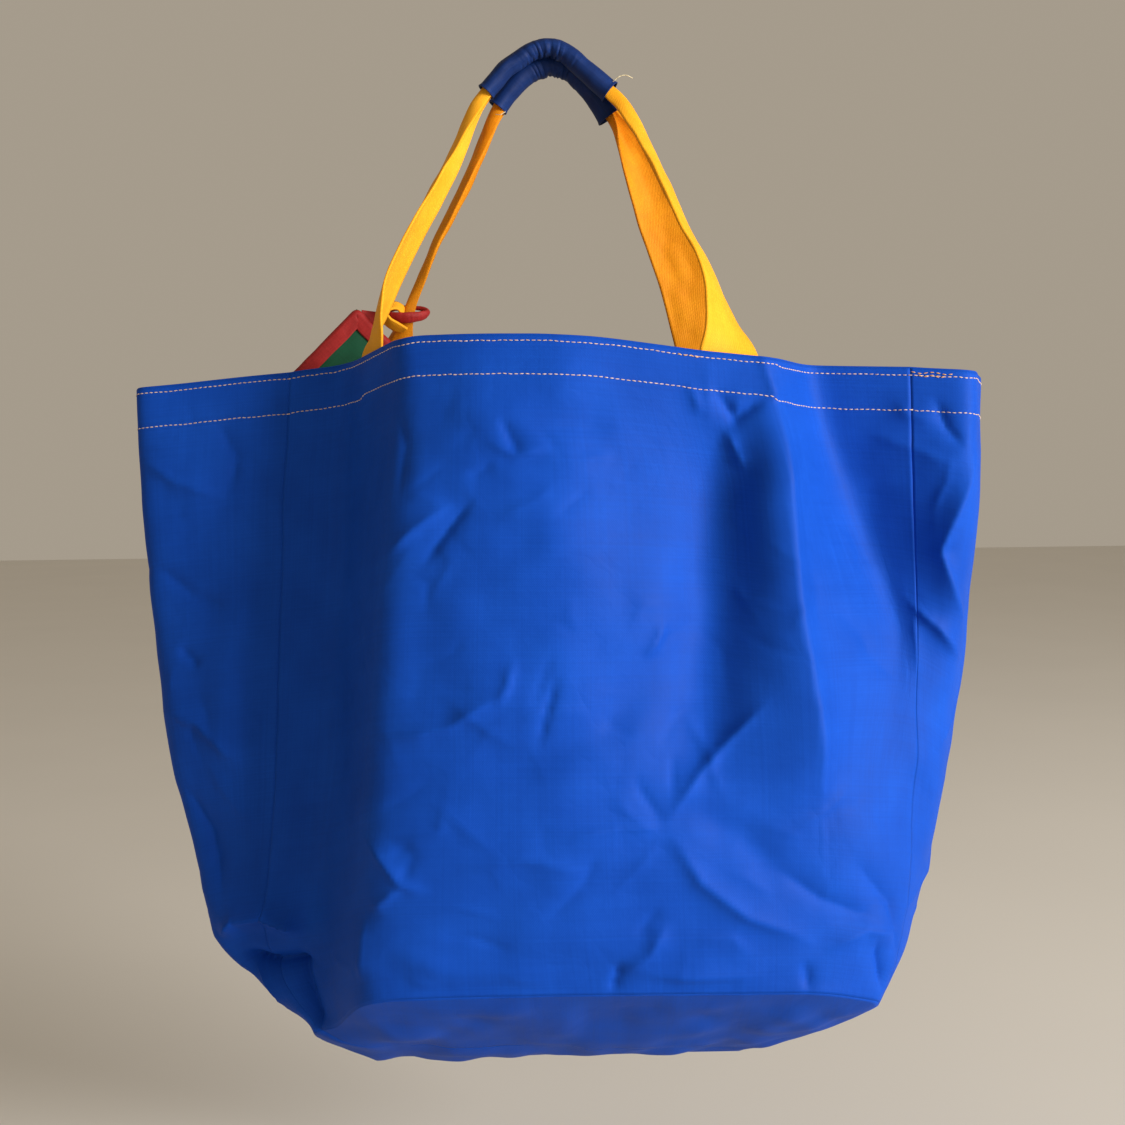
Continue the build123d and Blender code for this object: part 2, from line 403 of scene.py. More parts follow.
class Finishes:
    """Every finish of the bag, built once."""

    def __init__(self) -> None:
        """Builds the materials."""
        coated = {"pitch": 1.0 * MM, "thread_height": 0.10 * MM, "roughness": 0.56}
        coated.update(gloss=0.07, creases=0.5)
        blue = ((0.0035, 0.046, 0.33), (0.0050, 0.062, 0.42), (0.008, 0.085, 0.53))
        self.cloth = WovenFinish("coated_blue_cloth", *blue, **coated).material()
        # A darker copy of the blue cloth for the hem turned inside the bag: painted shade.
        inside = ((0.003, 0.036, 0.27), (0.004, 0.050, 0.35), (0.006, 0.065, 0.43))
        self.painted_shade_hem_cloth = WovenFinish("coated_blue_cloth_inside", *inside, **coated).material()
        gathered = {"pitch": 0.9 * MM, "thread_height": 0.14 * MM, "roughness": 0.55}
        gathered.update(blotch=60.0, gloss=0.15)
        navy = ((0.0025, 0.013, 0.068), (0.004, 0.021, 0.112), (0.008, 0.040, 0.19))
        self.grip = WovenFinish("gathered_navy_cloth", *navy, **gathered).material()
        coarse = {"pitch": 1.5 * MM, "thread_height": 0.20 * MM, "roughness": 0.55}
        coarse.update(twill=0.5, blotch=40.0, gloss=0.1)
        yellow = ((0.78, 0.30, 0.010), (0.88, 0.385, 0.018), (0.95, 0.48, 0.030))
        self.webbing = WovenFinish("yellow_webbing", *yellow, **coarse).material()
        # A darker, more orange copy of the yellow webbing for the back handle: painted shade, as that handle
        # hangs in shade.
        deep = ((0.56, 0.17, 0.004), (0.68, 0.24, 0.006), (0.80, 0.32, 0.010))
        self.painted_shade_back_webbing = WovenFinish("yellow_webbing_back", *deep, **coarse).material()
        narrow = {"pitch": 0.8 * MM, "thread_height": 0.15 * MM, "roughness": 0.6, "blotch": 80.0}
        red = ((0.20, 0.006, 0.006), (0.34, 0.012, 0.012), (0.48, 0.03, 0.025))
        self.tape = WovenFinish("red_binding_tape", *red, **narrow).material()
        plain = {"pitch": 0.9 * MM, "thread_height": 0.12 * MM, "roughness": 0.6, "blotch": 50.0}
        green = ((0.001, 0.045, 0.018), (0.002, 0.075, 0.032), (0.004, 0.11, 0.05))
        self.pouch = WovenFinish("green_pouch_cloth", *green, **plain).material()
        self.cream_thread = ThreadFinish("cream_thread", (0.55, 0.36, 0.27), (0.78, 0.58, 0.45)).material()
        self.gold_thread = ThreadFinish("gold_thread", (0.62, 0.27, 0.03), (0.85, 0.45, 0.08)).material()
        self.loose_thread = ThreadFinish("loose_thread", (0.62, 0.52, 0.30), (0.80, 0.70, 0.45)).material()


# ---------------------------------------------------------------------- mesh building


def new_piece(name: str, points: np.ndarray, faces: np.ndarray, corners: np.ndarray) -> bpy.types.Object:
    """Makes a smooth mesh of quads and links it to the scene.

    Args:
        name: the object's name.
        points: the vertices, in metres.
        faces: four vertex numbers for each quad.
        corners: the cloth length across and along at each quad's corners, in metres.

    Returns:
        The new object, with the UV map "cloth".
    """
    mesh = bpy.data.meshes.new(name)
    mesh.from_pydata(points.tolist(), [], faces.tolist())
    mesh.uv_layers.new(name="cloth").data.foreach_set("uv", corners.reshape(-1).astype(np.float32))
    mesh.shade_smooth()
    made = bpy.data.objects.new(name, mesh)
    bpy.context.scene.collection.objects.link(made)
    return made


def grid_mesh(name: str, points: np.ndarray, uv: np.ndarray, wrap: bool = False) -> bpy.types.Object:
    """Makes a sheet of quads over a grid of points.

    Args:
        name: the object's name.
        points: rows by columns by 3, in metres.
        uv: rows by columns by 2, cloth lengths in metres.
        wrap: joins the last column to the first.

    Returns:
        The new object.
    """
    rows, columns = points.shape[:2]
    index = np.arange(rows * columns).reshape(rows, columns)
    if wrap:
        index = np.concatenate([index, index[:, :1]], axis=1)
        uv = np.concatenate([uv, 2.0 * uv[:, -1:] - uv[:, -2:-1]], axis=1)
    faces = np.stack([index[:-1, :-1], index[:-1, 1:], index[1:, 1:], index[1:, :-1]], axis=-1)
    corners = np.stack([uv[:-1, :-1], uv[:-1, 1:], uv[1:, 1:], uv[1:, :-1]], axis=-2)
    return new_piece(name, points.reshape(-1, 3), faces.reshape(-1, 4), corners)


def shell_mesh(name: str, outer: np.ndarray, inner: np.ndarray, uv: np.ndarray) -> bpy.types.Object:
    """Makes a closed layer of cloth between two grids of points.

    Args:
        name: the object's name.
        outer: the outer face, rows by columns by 3, in metres.
        inner: the inner face, laid out in the same way.
        uv: rows by columns by 2, cloth lengths in metres.

    Returns:
        The new object.
    """
    rows, columns = outer.shape[:2]
    count = rows * columns
    index = np.arange(count).reshape(rows, columns)
    faces, corners = [], []

    def strip(a: np.ndarray, b: np.ndarray, uv_a: np.ndarray, uv_b: np.ndarray) -> None:
        """Adds the quads between two lines of points."""
        faces.append(np.stack([a[:-1], a[1:], b[1:], b[:-1]], axis=-1).reshape(-1, 4))
        corners.append(np.stack([uv_a[:-1], uv_a[1:], uv_b[1:], uv_b[:-1]], axis=-2).reshape(-1, 2))

    for row in range(rows - 1):
        strip(index[row], index[row + 1], uv[row], uv[row + 1])
        strip(index[row + 1] + count, index[row] + count, uv[row + 1], uv[row])
    for inside, outside, edge in (
        (index[0] + count, index[0], uv[0]),
        (index[-1], index[-1] + count, uv[-1]),
        (index[:, 0], index[:, 0] + count, uv[:, 0]),
        (index[:, -1] + count, index[:, -1], uv[:, -1]),
    ):
        strip(inside, outside, edge, edge)
    points = np.concatenate([outer.reshape(-1, 3), inner.reshape(-1, 3)])
    return new_piece(name, points, np.concatenate(faces), np.concatenate(corners))


def thicken(piece: bpy.types.Object, thickness: float, offset: float = -1.0) -> bpy.types.Object:
    """Gives a sheet its thickness and applies it.

    Args:
        piece: the sheet.
        thickness: cloth thickness.
        offset: -1 grows the thickness behind the faces, 0 to both sides and 1 in front.

    Returns:
        The same object.
    """
    solid = piece.modifiers.new("cloth_thickness", "SOLIDIFY")
    solid.thickness = thickness
    solid.offset = offset
    solid.use_even_offset = False
    return freeze(piece)


def freeze(piece: bpy.types.Object) -> bpy.types.Object:
    """Turns an object's evaluated shape into its own plain mesh, with no modifiers left.

    Args:
        piece: the object.

    Returns:
        The same object.
    """
    bpy.context.view_layer.update()
    evaluated = piece.evaluated_get(bpy.context.evaluated_depsgraph_get())
    mesh = bpy.data.meshes.new_from_object(evaluated)
    mesh.name = piece.name
    piece.modifiers.clear()
    piece.data = mesh
    return piece


def dress(
    piece: bpy.types.Object, material: bpy.types.Material, slot: Slot, *nodes: str,
    body: Optional[str] = None,
) -> bpy.types.Object:
    """Puts one material on a piece, hides the record nodes it replaces and attaches it to its body, if it has
    one.

    Args:
        piece: the piece.
        material: its finish.
        slot: the record slot of the finish; not used.
        nodes: the record nodes the piece stands for.
        body: the body it rides on.

    Returns:
        The same piece.
    """
    piece.data.materials.clear()
    piece.data.materials.append(material)
    if nodes:
        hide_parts(*nodes)
    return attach(piece, body) if body else piece


def join(pieces: Sequence[bpy.types.Object], name: str) -> bpy.types.Object:
    """Joins pieces into the first one and gives it a name.

    Args:
        pieces: the pieces.
        name: the joined piece's name.

    Returns:
        The joined piece.
    """
    for other in bpy.context.selected_objects:
        other.select_set(False)
    for piece in pieces:
        piece.select_set(True)
    bpy.context.view_layer.objects.active = pieces[0]
    bpy.ops.object.join()
    pieces[0].name = name
    pieces[0].data.name = name
    return pieces[0]


def running(points: np.ndarray) -> np.ndarray:
    """Length along a line of points, from 0 at the first one."""
    return np.concatenate([[0.0], np.cumsum(np.linalg.norm(np.diff(points, axis=0), axis=1))])


def looked_up(at: np.ndarray, known_at: np.ndarray, values: np.ndarray) -> np.ndarray:
    """Every column of values read at other places, with the columns last."""
    return np.stack([np.interp(at, known_at, values[:, k]) for k in range(values.shape[1])], axis=-1)


def smooth_step(value: np.ndarray, low: float, high: float) -> np.ndarray:
    """0 below low, 1 above high, smooth between."""
    share = np.clip((value - low) / (high - low), 0.0, 1.0)
    return share * share * (3.0 - 2.0 * share)


def unit(vectors: np.ndarray) -> np.ndarray:
    """Vectors scaled to length one along the last axis."""
    return vectors / np.maximum(np.linalg.norm(vectors, axis=-1, keepdims=True), 1e-12)


def cubic(
    t: np.ndarray, start: np.ndarray, end: np.ndarray, leave: np.ndarray, arrive: np.ndarray,
) -> np.ndarray:
    """Smooth cubic between two values.

    Args:
        t: the share of the way, from 0 to 1.
        start: the value at 0.
        end: the value at 1.
        leave: the slope at 0.
        arrive: the slope at 1.

    Returns:
        The value at t.
    """
    steps = (2 * t**3 - 3 * t**2 + 1) * start + (t**3 - 2 * t**2 + t) * leave
    return steps + (3 * t**2 - 2 * t**3) * end + (t**3 - t**2) * arrive


def through(points: Sequence[Sequence[float]], count: int) -> np.ndarray:
    """Smooth curve through points.

    Args:
        points: two or more places the curve passes through.
        count: how many evenly spread samples to return.

    Returns:
        count samples along a centripetal spline, evenly spaced by length.
    """
    known = np.asarray(points, float)
    steps = np.linalg.norm(np.diff(known, axis=0), axis=1) ** 0.5
    knots = np.concatenate([[0.0], np.cumsum(steps)])
    slopes = np.gradient(known, knots, axis=0)
    fine = np.linspace(0.0, knots[-1], count * 6)
    span = np.clip(np.searchsorted(knots, fine, side="right") - 1, 0, len(knots) - 2)
    width = (knots[span + 1] - knots[span])[:, None]
    t = (fine[:, None] - knots[span][:, None]) / width
    curve = cubic(t, known[span], known[span + 1], width * slopes[span], width * slopes[span + 1])
    length = running(curve)
    return looked_up(np.linspace(0.0, length[-1], count), length, curve)


def smooth_noise(x: np.ndarray, y: np.ndarray, cell: float, seed: int) -> np.ndarray:
    """Smooth value noise over a plane.

    Args:
        x: places on the plane.
        y: places on the plane.
        cell: size of the noise's cells.
        seed: seed of the noise's values.

    Returns:
        Noise from -1 to 1 at each place.
    """
    size = 64
    table = np.random.default_rng(seed).uniform(-1.0, 1.0, (size, size))
    gx, gy = x / cell, y / cell
    ix, iy = np.floor(gx).astype(int), np.floor(gy).astype(int)
    fx, fy = gx - ix, gy - iy
    fx, fy = fx * fx * (3 - 2 * fx), fy * fy * (3 - 2 * fy)
    right, left = (ix + 1) % size, ix % size
    upper, lower = (iy + 1) % size, iy % size
    low = table[left, lower] * (1 - fx) + table[right, lower] * fx
    high = table[left, upper] * (1 - fx) + table[right, upper] * fx
    return low * (1 - fy) + high * fy


# ---------------------------------------------------------------------- the bag's shape


@dataclass(frozen=True)
class Crease:
    """A fold line pressed into the cloth, drawn on the front elevation in millimetres.

    Height is how far it stands out of the cloth, negative for a groove. The two widths are how far it reaches
    to its right and to its left as one follows the line. A sharp crease comes to an edge, a soft one is
    rounded. Fade is the share of its length over which it dies out at each end.
    """

    line: tuple[tuple[float, float], ...]
    height: float
    right: float
    left: float
    sharp: bool = True
    fade: float = 0.35

    def rise(self, x: np.ndarray, z: np.ndarray) -> np.ndarray:
        """How far the crease moves each point of the cloth outwards.

        Args:
            x: points' x in millimetres.
            z: points' z in millimetres.

        Returns:
            The outward move of each point, in millimetres.
        """
        corners = np.asarray(self.line, float)
        steps = np.diff(corners, axis=0)
        lengths = np.linalg.norm(steps, axis=1)
        starts = running(corners)
        nearest = np.full(x.shape, 1e9)
        share = np.zeros(x.shape)
        side = np.ones(x.shape)
        for start, step, length, begun in zip(corners, steps, lengths, starts):
            along = ((x - start[0]) * step[0] + (z - start[1]) * step[1]) / length**2
            held = np.clip(along, 0.0, 1.0)
            dx, dz = x - start[0] - held * step[0], z - start[1] - held * step[1]
            distance = np.hypot(dx, dz)
            closer = distance < nearest
            nearest = np.where(closer, distance, nearest)
            share = np.where(closer, (begun + held * length) / starts[-1], share)
            side = np.where(closer, np.sign(step[0] * dz - step[1] * dx), side)
        reach = np.where(side > 0, self.left, self.right)
        away = nearest / reach
        profile = np.exp(-away * 1.6) if self.sharp else np.exp(-away * away * 1.5)
        ends = smooth_step(share, -0.05, self.fade) * (1.0 - smooth_step(share, 1.0 - self.fade, 1.05))
        return self.height * profile * ends


@dataclass
class HangingShape:
    """The surface the bag's cloth takes as it hangs: smooth rings in plan at several heights, plus its folds.

    A place on the walls is a ring position, which counts the corners from the front left seam round by the
    right, and a drop from the rim to the base seam between 0 and 1. Each level gives its height and its
    corners in plan. Cloth lengths are those between the knots, in millimetres.
    """

    corner_smoothing: float = 7.0
    lower_smoothing: float = 1.9
    smoothing_reach: int = 60
    rim_zone: float = -230.0
    samples_per_mm: float = 1.0
    base_front: tuple[float, float] = (-118.0, -544.0)
    base_back: tuple[float, float] = (18.0, -631.0)
    base_sag: float = 10.0
    base_middle_x: tuple[float, float] = (-95.0, 100.0)
    base_middle_y: float = -38.0
    knots: tuple[float, ...] = (0, 1, 2, 3, 4, 5, 6, 6.5, 7, 8, 9, 10, 11, 12, 13, 14)
    cloth_lengths: tuple[float, ...] = (42, 82, 44, 50, 67, 58, 44, 56, 40, 68, 56, 424, 52, 15, 100)
    levels: tuple = (
        (-150.0, (
            (-165, -10), (-128, -22), (-88, -93), (-45, -104), (4, -109), (70, -102), (127, -95),
            (150, -62), (209, -62), (246, -66), (268, -2), (212, 18), (-212, 18), (-265, 18), (-265, 4),
        )),
        (-199.0, (
            (-165, -10), (-128, -23), (-88, -94), (-45, -107), (4, -112), (72, -101), (127, -97),
            (154, -54), (210, -66), (246, -73), (269, -4), (212, 18), (-212, 18), (-267, 18), (-267, 3),
        )),
        (-255.0, (
            (-168, -15), (-134, -30), (-92, -103), (-47, -117), (6, -120), (86, -94), (133, -108),
            (168, -48), (211, -64), (246, -80), (269, -6), (212, 18), (-212, 18), (-269, 18), (-269, 0),
        )),
        (-345.0, (
            (-172, -22), (-140, -38), (-99, -110), (-50, -124), (6, -128), (88, -101), (142, -114),
            (200, -62), (212, -64), (238, -66), (262, -8), (212, 18), (-212, 18), (-262, 18), (-262, -4),
        )),
        (-440.0, (
            (-177, -30), (-146, -44), (-107, -116), (-52, -127), (6, -130), (86, -119), (150, -114),
            (182, -98), (209, -78), (230, -56), (248, -10), (206, 18), (-206, 18), (-251, 18), (-251, -9),
        )),
        (-510.0, (
            (-184, -34), (-148, -44), (-112, -116), (-55, -123), (10, -125), (86, -122), (152, -115),
            (182, -102), (204, -88), (220, -52), (229, -10), (196, 18), (-196, 18), (-232, 18), (-233, -16),
        )),
        (-548.0, (
            (-184, -36), (-150, -46), (-113, -113), (-55, -117), (15, -118), (86, -118), (150, -116),
            (175, -104), (193, -95), (204, -60), (208, -10), (178, 18), (-182, 18), (-214, 18), (-216, -24),
        )),
        (-590.0, (
            (-156, -44), (-138, -54), (-108, -110), (-52, -116), (15, -117), (83, -116), (142, -113),
            (160, -101), (172, -90), (173, -50), (166, -8), (148, 18), (-140, 18), (-160, 18), (-164, -22),
        )),
        (-640.0, (
            (-138, -50), (-126, -60), (-104, -104), (-50, -112), (15, -114), (80, -112), (130, -110),
            (138, -98), (146, -86), (146, -46), (130, -8), (112, 18), (-104, 18), (-124, 18), (-138, -25),
        )),
    )
    rim: tuple[tuple[float, float], ...] = (
        (0.0, -183.0), (1.0, -180.0), (1.6, -174.0), (2.0, -168.5), (3.0, -168.5), (4.0, -169.5),
        (4.6, -173.0), (5.0, -178.0), (5.8, -182.5), (6.0, -184.0), (6.5, -186.0), (7.0, -188.5),
        (8.0, -191.0), (9.0, -193.0), (10.0, -208.0), (10.5, -217.0), (11.0, -208.0), (12.0, -193.5),
        (13.0, -192.0), (14.0, -183.0),
    )
    folds: tuple[Crease, ...] = ()
    crumples: int = 150
    crumple_x: tuple[float, float] = (-250, 255)
    crumple_z: tuple[float, float] = (-600, -215)
    seed: int = 11
    rings: list = field(default_factory=list, repr=False)
    places: np.ndarray = field(default=None, repr=False)
    random_folds: list = field(default_factory=list, repr=False)

    def __post_init__(self) -> None:
        """Works out the rings and the small crumples once."""
        self.sample_rings()
        self.draw_crumples()

    def sample_rings(self) -> None:
        """Samples each level's ring evenly by cloth length and rounds its corners. The back stays flat."""
        lengths = np.asarray(self.cloth_lengths, float)
        counts = np.maximum((lengths * self.samples_per_mm).astype(int), 6)
        starts, ends = self.knots[:-1], self.knots[1:]
        shares = [low + (high - low) * np.arange(n) / n for low, high, n in zip(starts, ends, counts)]
        self.places = np.concatenate(shares)
        window = np.arange(-self.smoothing_reach, self.smoothing_reach + 1)
        for z, plan in self.levels:
            sigma = self.corner_smoothing * (1.0 if z > self.rim_zone else self.lower_smoothing)
            weights = np.exp(-0.5 * (window / sigma) ** 2)
            weights /= weights.sum()
            sharp = looked_up(self.places, self.knots, np.asarray(plan + plan[:1], float))
            smooth = sum(w * np.roll(sharp, shift, axis=0) for w, shift in zip(weights, window))
            flat = (np.abs(sharp[:, 1] - BACK_Y) < 1e-6)[:, None]
            self.rings.append((z, np.where(flat, np.stack([smooth[:, 0], sharp[:, 1]], axis=1), smooth)))

    def draw_crumples(self) -> None:
        """Scatters small bent creases over the cloth."""
        rng = np.random.default_rng(self.seed)
        for _ in range(self.crumples):
            x, z = rng.uniform(*self.crumple_x), rng.uniform(*self.crumple_z)
            turn, reach = rng.uniform(0, math.pi), rng.uniform(9, 34)
            bend = turn + rng.normal(0, 0.5)
            middle = (x + reach * math.cos(turn), z + reach * math.sin(turn))
            end = (middle[0] + reach * math.cos(bend) * 0.7, middle[1] + reach * math.sin(bend) * 0.7)
            width = rng.uniform(2.6, 8.0)
            height = rng.choice([-1.0, 1.0]) * rng.uniform(0.35, 1.05) * width / 5.0
            self.random_folds.append(Crease(((x, z), middle, end), height, width, width * 0.6))

    def rim_height(self, ring: np.ndarray) -> np.ndarray:
        """Height of the rim, rounded at its corners.

        Args:
            ring: ring positions.

        Returns:
            The height at each position, in millimetres.
        """
        known = np.asarray(self.rim)
        window = np.linspace(-0.35, 0.35, 9)
        spread = [np.interp((ring + shift) % RING_END, known[:, 0], known[:, 1]) for shift in window]
        return sum(spread) / len(window)

    def base_height(self, y: np.ndarray) -> np.ndarray:
        """Height of the base seam where the cloth's depth is y, in millimetres."""
        (front_y, front_z), (back_y, back_z) = self.base_front, self.base_back
        return front_z + (y - front_y) * (back_z - front_z) / (back_y - front_y)

    def smooth_wall(self, ring: np.ndarray, z: np.ndarray) -> np.ndarray:
        """Smooth wall, without its folds.

        Args:
            ring: ring positions.
            z: heights in millimetres.

        Returns:
            The x and y of each place, in millimetres.
        """
        heights = np.array([level[0] for level in self.rings])
        places = np.append(self.places, RING_END)
        closed = [np.append(plan, plan[:1], axis=0) for _, plan in self.rings]
        at = np.stack([looked_up(ring % RING_END, places, plan) for plan in closed])
        below = np.clip(np.searchsorted(-heights, -z, side="right") - 1, 0, len(heights) - 2)
        span = heights[below + 1] - heights[below]
        t = np.clip((z - heights[below]) / span, 0.0, 1.0)[..., None]

        def take(level: np.ndarray) -> np.ndarray:
            """The plan points on each place's level."""
            return np.take_along_axis(at, level[None, ..., None], axis=0)[0]

        before, after = np.maximum(below - 1, 0), np.minimum(below + 2, len(heights) - 1)
        low, high = take(below), take(below + 1)
        slope_low = (high - take(before)) / np.where(before == below, 1.0, 2.0)[..., None]
        slope_high = (take(after) - low) / np.where(after == below + 1, 1.0, 2.0)[..., None]
        return cubic(t, low, high, slope_low, slope_high)

    def fold_rise(self, x: np.ndarray, z: np.ndarray) -> np.ndarray:
        """Outward move of the front-facing cloth from every fold, in millimetres."""
        total = np.zeros(x.shape)
        for crease in (*self.folds, *self.random_folds):
            total += crease.rise(x, z)
        total += 1.6 * smooth_noise(x, z, 46.0, self.seed + 1) + 0.6 * smooth_noise(x, z, 19.0, self.seed + 2)
        return total

    def hidden_waves(self, x: np.ndarray, y: np.ndarray, z: np.ndarray) -> np.ndarray:
        """Outward move of the cloth that faces away from the front, in millimetres."""
        slanted = z + 3.0 * y
        large = 3.0 * smooth_noise(x + 900.0, slanted, 62.0, self.seed + 4)
        return large + 1.6 * smooth_noise(x + 900.0, slanted, 24.0, self.seed + 5) - 2.4

    def wall(self, ring: np.ndarray, drop: np.ndarray, inward: float = 0.0) -> np.ndarray:
        """Points of the hanging walls.

        Args:
            ring: ring positions from 0 to RING_END.
            drop: millimetres below the rim where negative, or the share from the rim to the base seam.
            inward: how far inside the outer face, in millimetres.

        Returns:
            Points in metres.
        """
        rim = self.rim_height(ring)
        low = self.base_height(self.smooth_wall(ring, np.full(ring.shape, -575.0))[..., 1])
        for _ in range(4):
            low = self.base_height(self.smooth_wall(ring, low)[..., 1])
        z = np.where(drop < 0, rim + drop, rim + (low - rim) * drop)
        plan = self.smooth_wall(ring, z)
        step = 0.02
        tangent = unit(self.smooth_wall(ring + step, z) - self.smooth_wall(ring - step, z))
        outward = np.stack([tangent[..., 1], -tangent[..., 0]], axis=-1)
        near_rim = 0.34 + 0.66 * smooth_step(rim - z, 2.0, 34.0)
        near_base = smooth_step(z - low, 0.0, 9.0) * 0.6 + 0.4
        in_front = smooth_step(np.clip(-outward[..., 1], 0.0, 1.0), 0.02, 0.35)
        x, y = plan[..., 0], plan[..., 1]
        rise = self.fold_rise(x, z) * in_front + self.hidden_waves(x, y, z) * (1.0 - in_front)
        rim_wave = 0.9 * smooth_noise(x, y, 31.0, self.seed + 6) * (1.0 - near_rim)
        rise = rise * near_rim * near_base + rim_wave
        moved = plan + outward * (rise - inward)[..., None]
        return np.concatenate([moved, z[..., None]], axis=-1) * MM

    def base(self, spread: np.ndarray, turn: np.ndarray) -> np.ndarray:
        """Points of the base panel.

        Args:
            spread: 0 on the panel's middle line, 1 on its seam.
            turn: ring positions.

        Returns:
            Points in metres.
        """
        edge = self.wall(turn, np.ones(turn.shape)) / MM
        middle_x = np.clip(edge[..., 0], *self.base_middle_x)
        x = middle_x + (edge[..., 0] - middle_x) * spread
        y = self.base_middle_y + (edge[..., 1] - self.base_middle_y) * spread
        flat = self.base_height(y) + (edge[..., 2] - self.base_height(edge[..., 1])) * spread**3
        sag = self.base_sag * (1.0 - spread**2)
        dents = 3.2 * smooth_noise(x, y * 1.6, 34.0, self.seed + 7)
        dents += 1.5 * smooth_noise(x, y, 17.0, self.seed + 8)
        return np.stack([x, y, flat - sag + dents * np.minimum(1.0, 4.0 * (1.0 - spread))], axis=-1) * MM


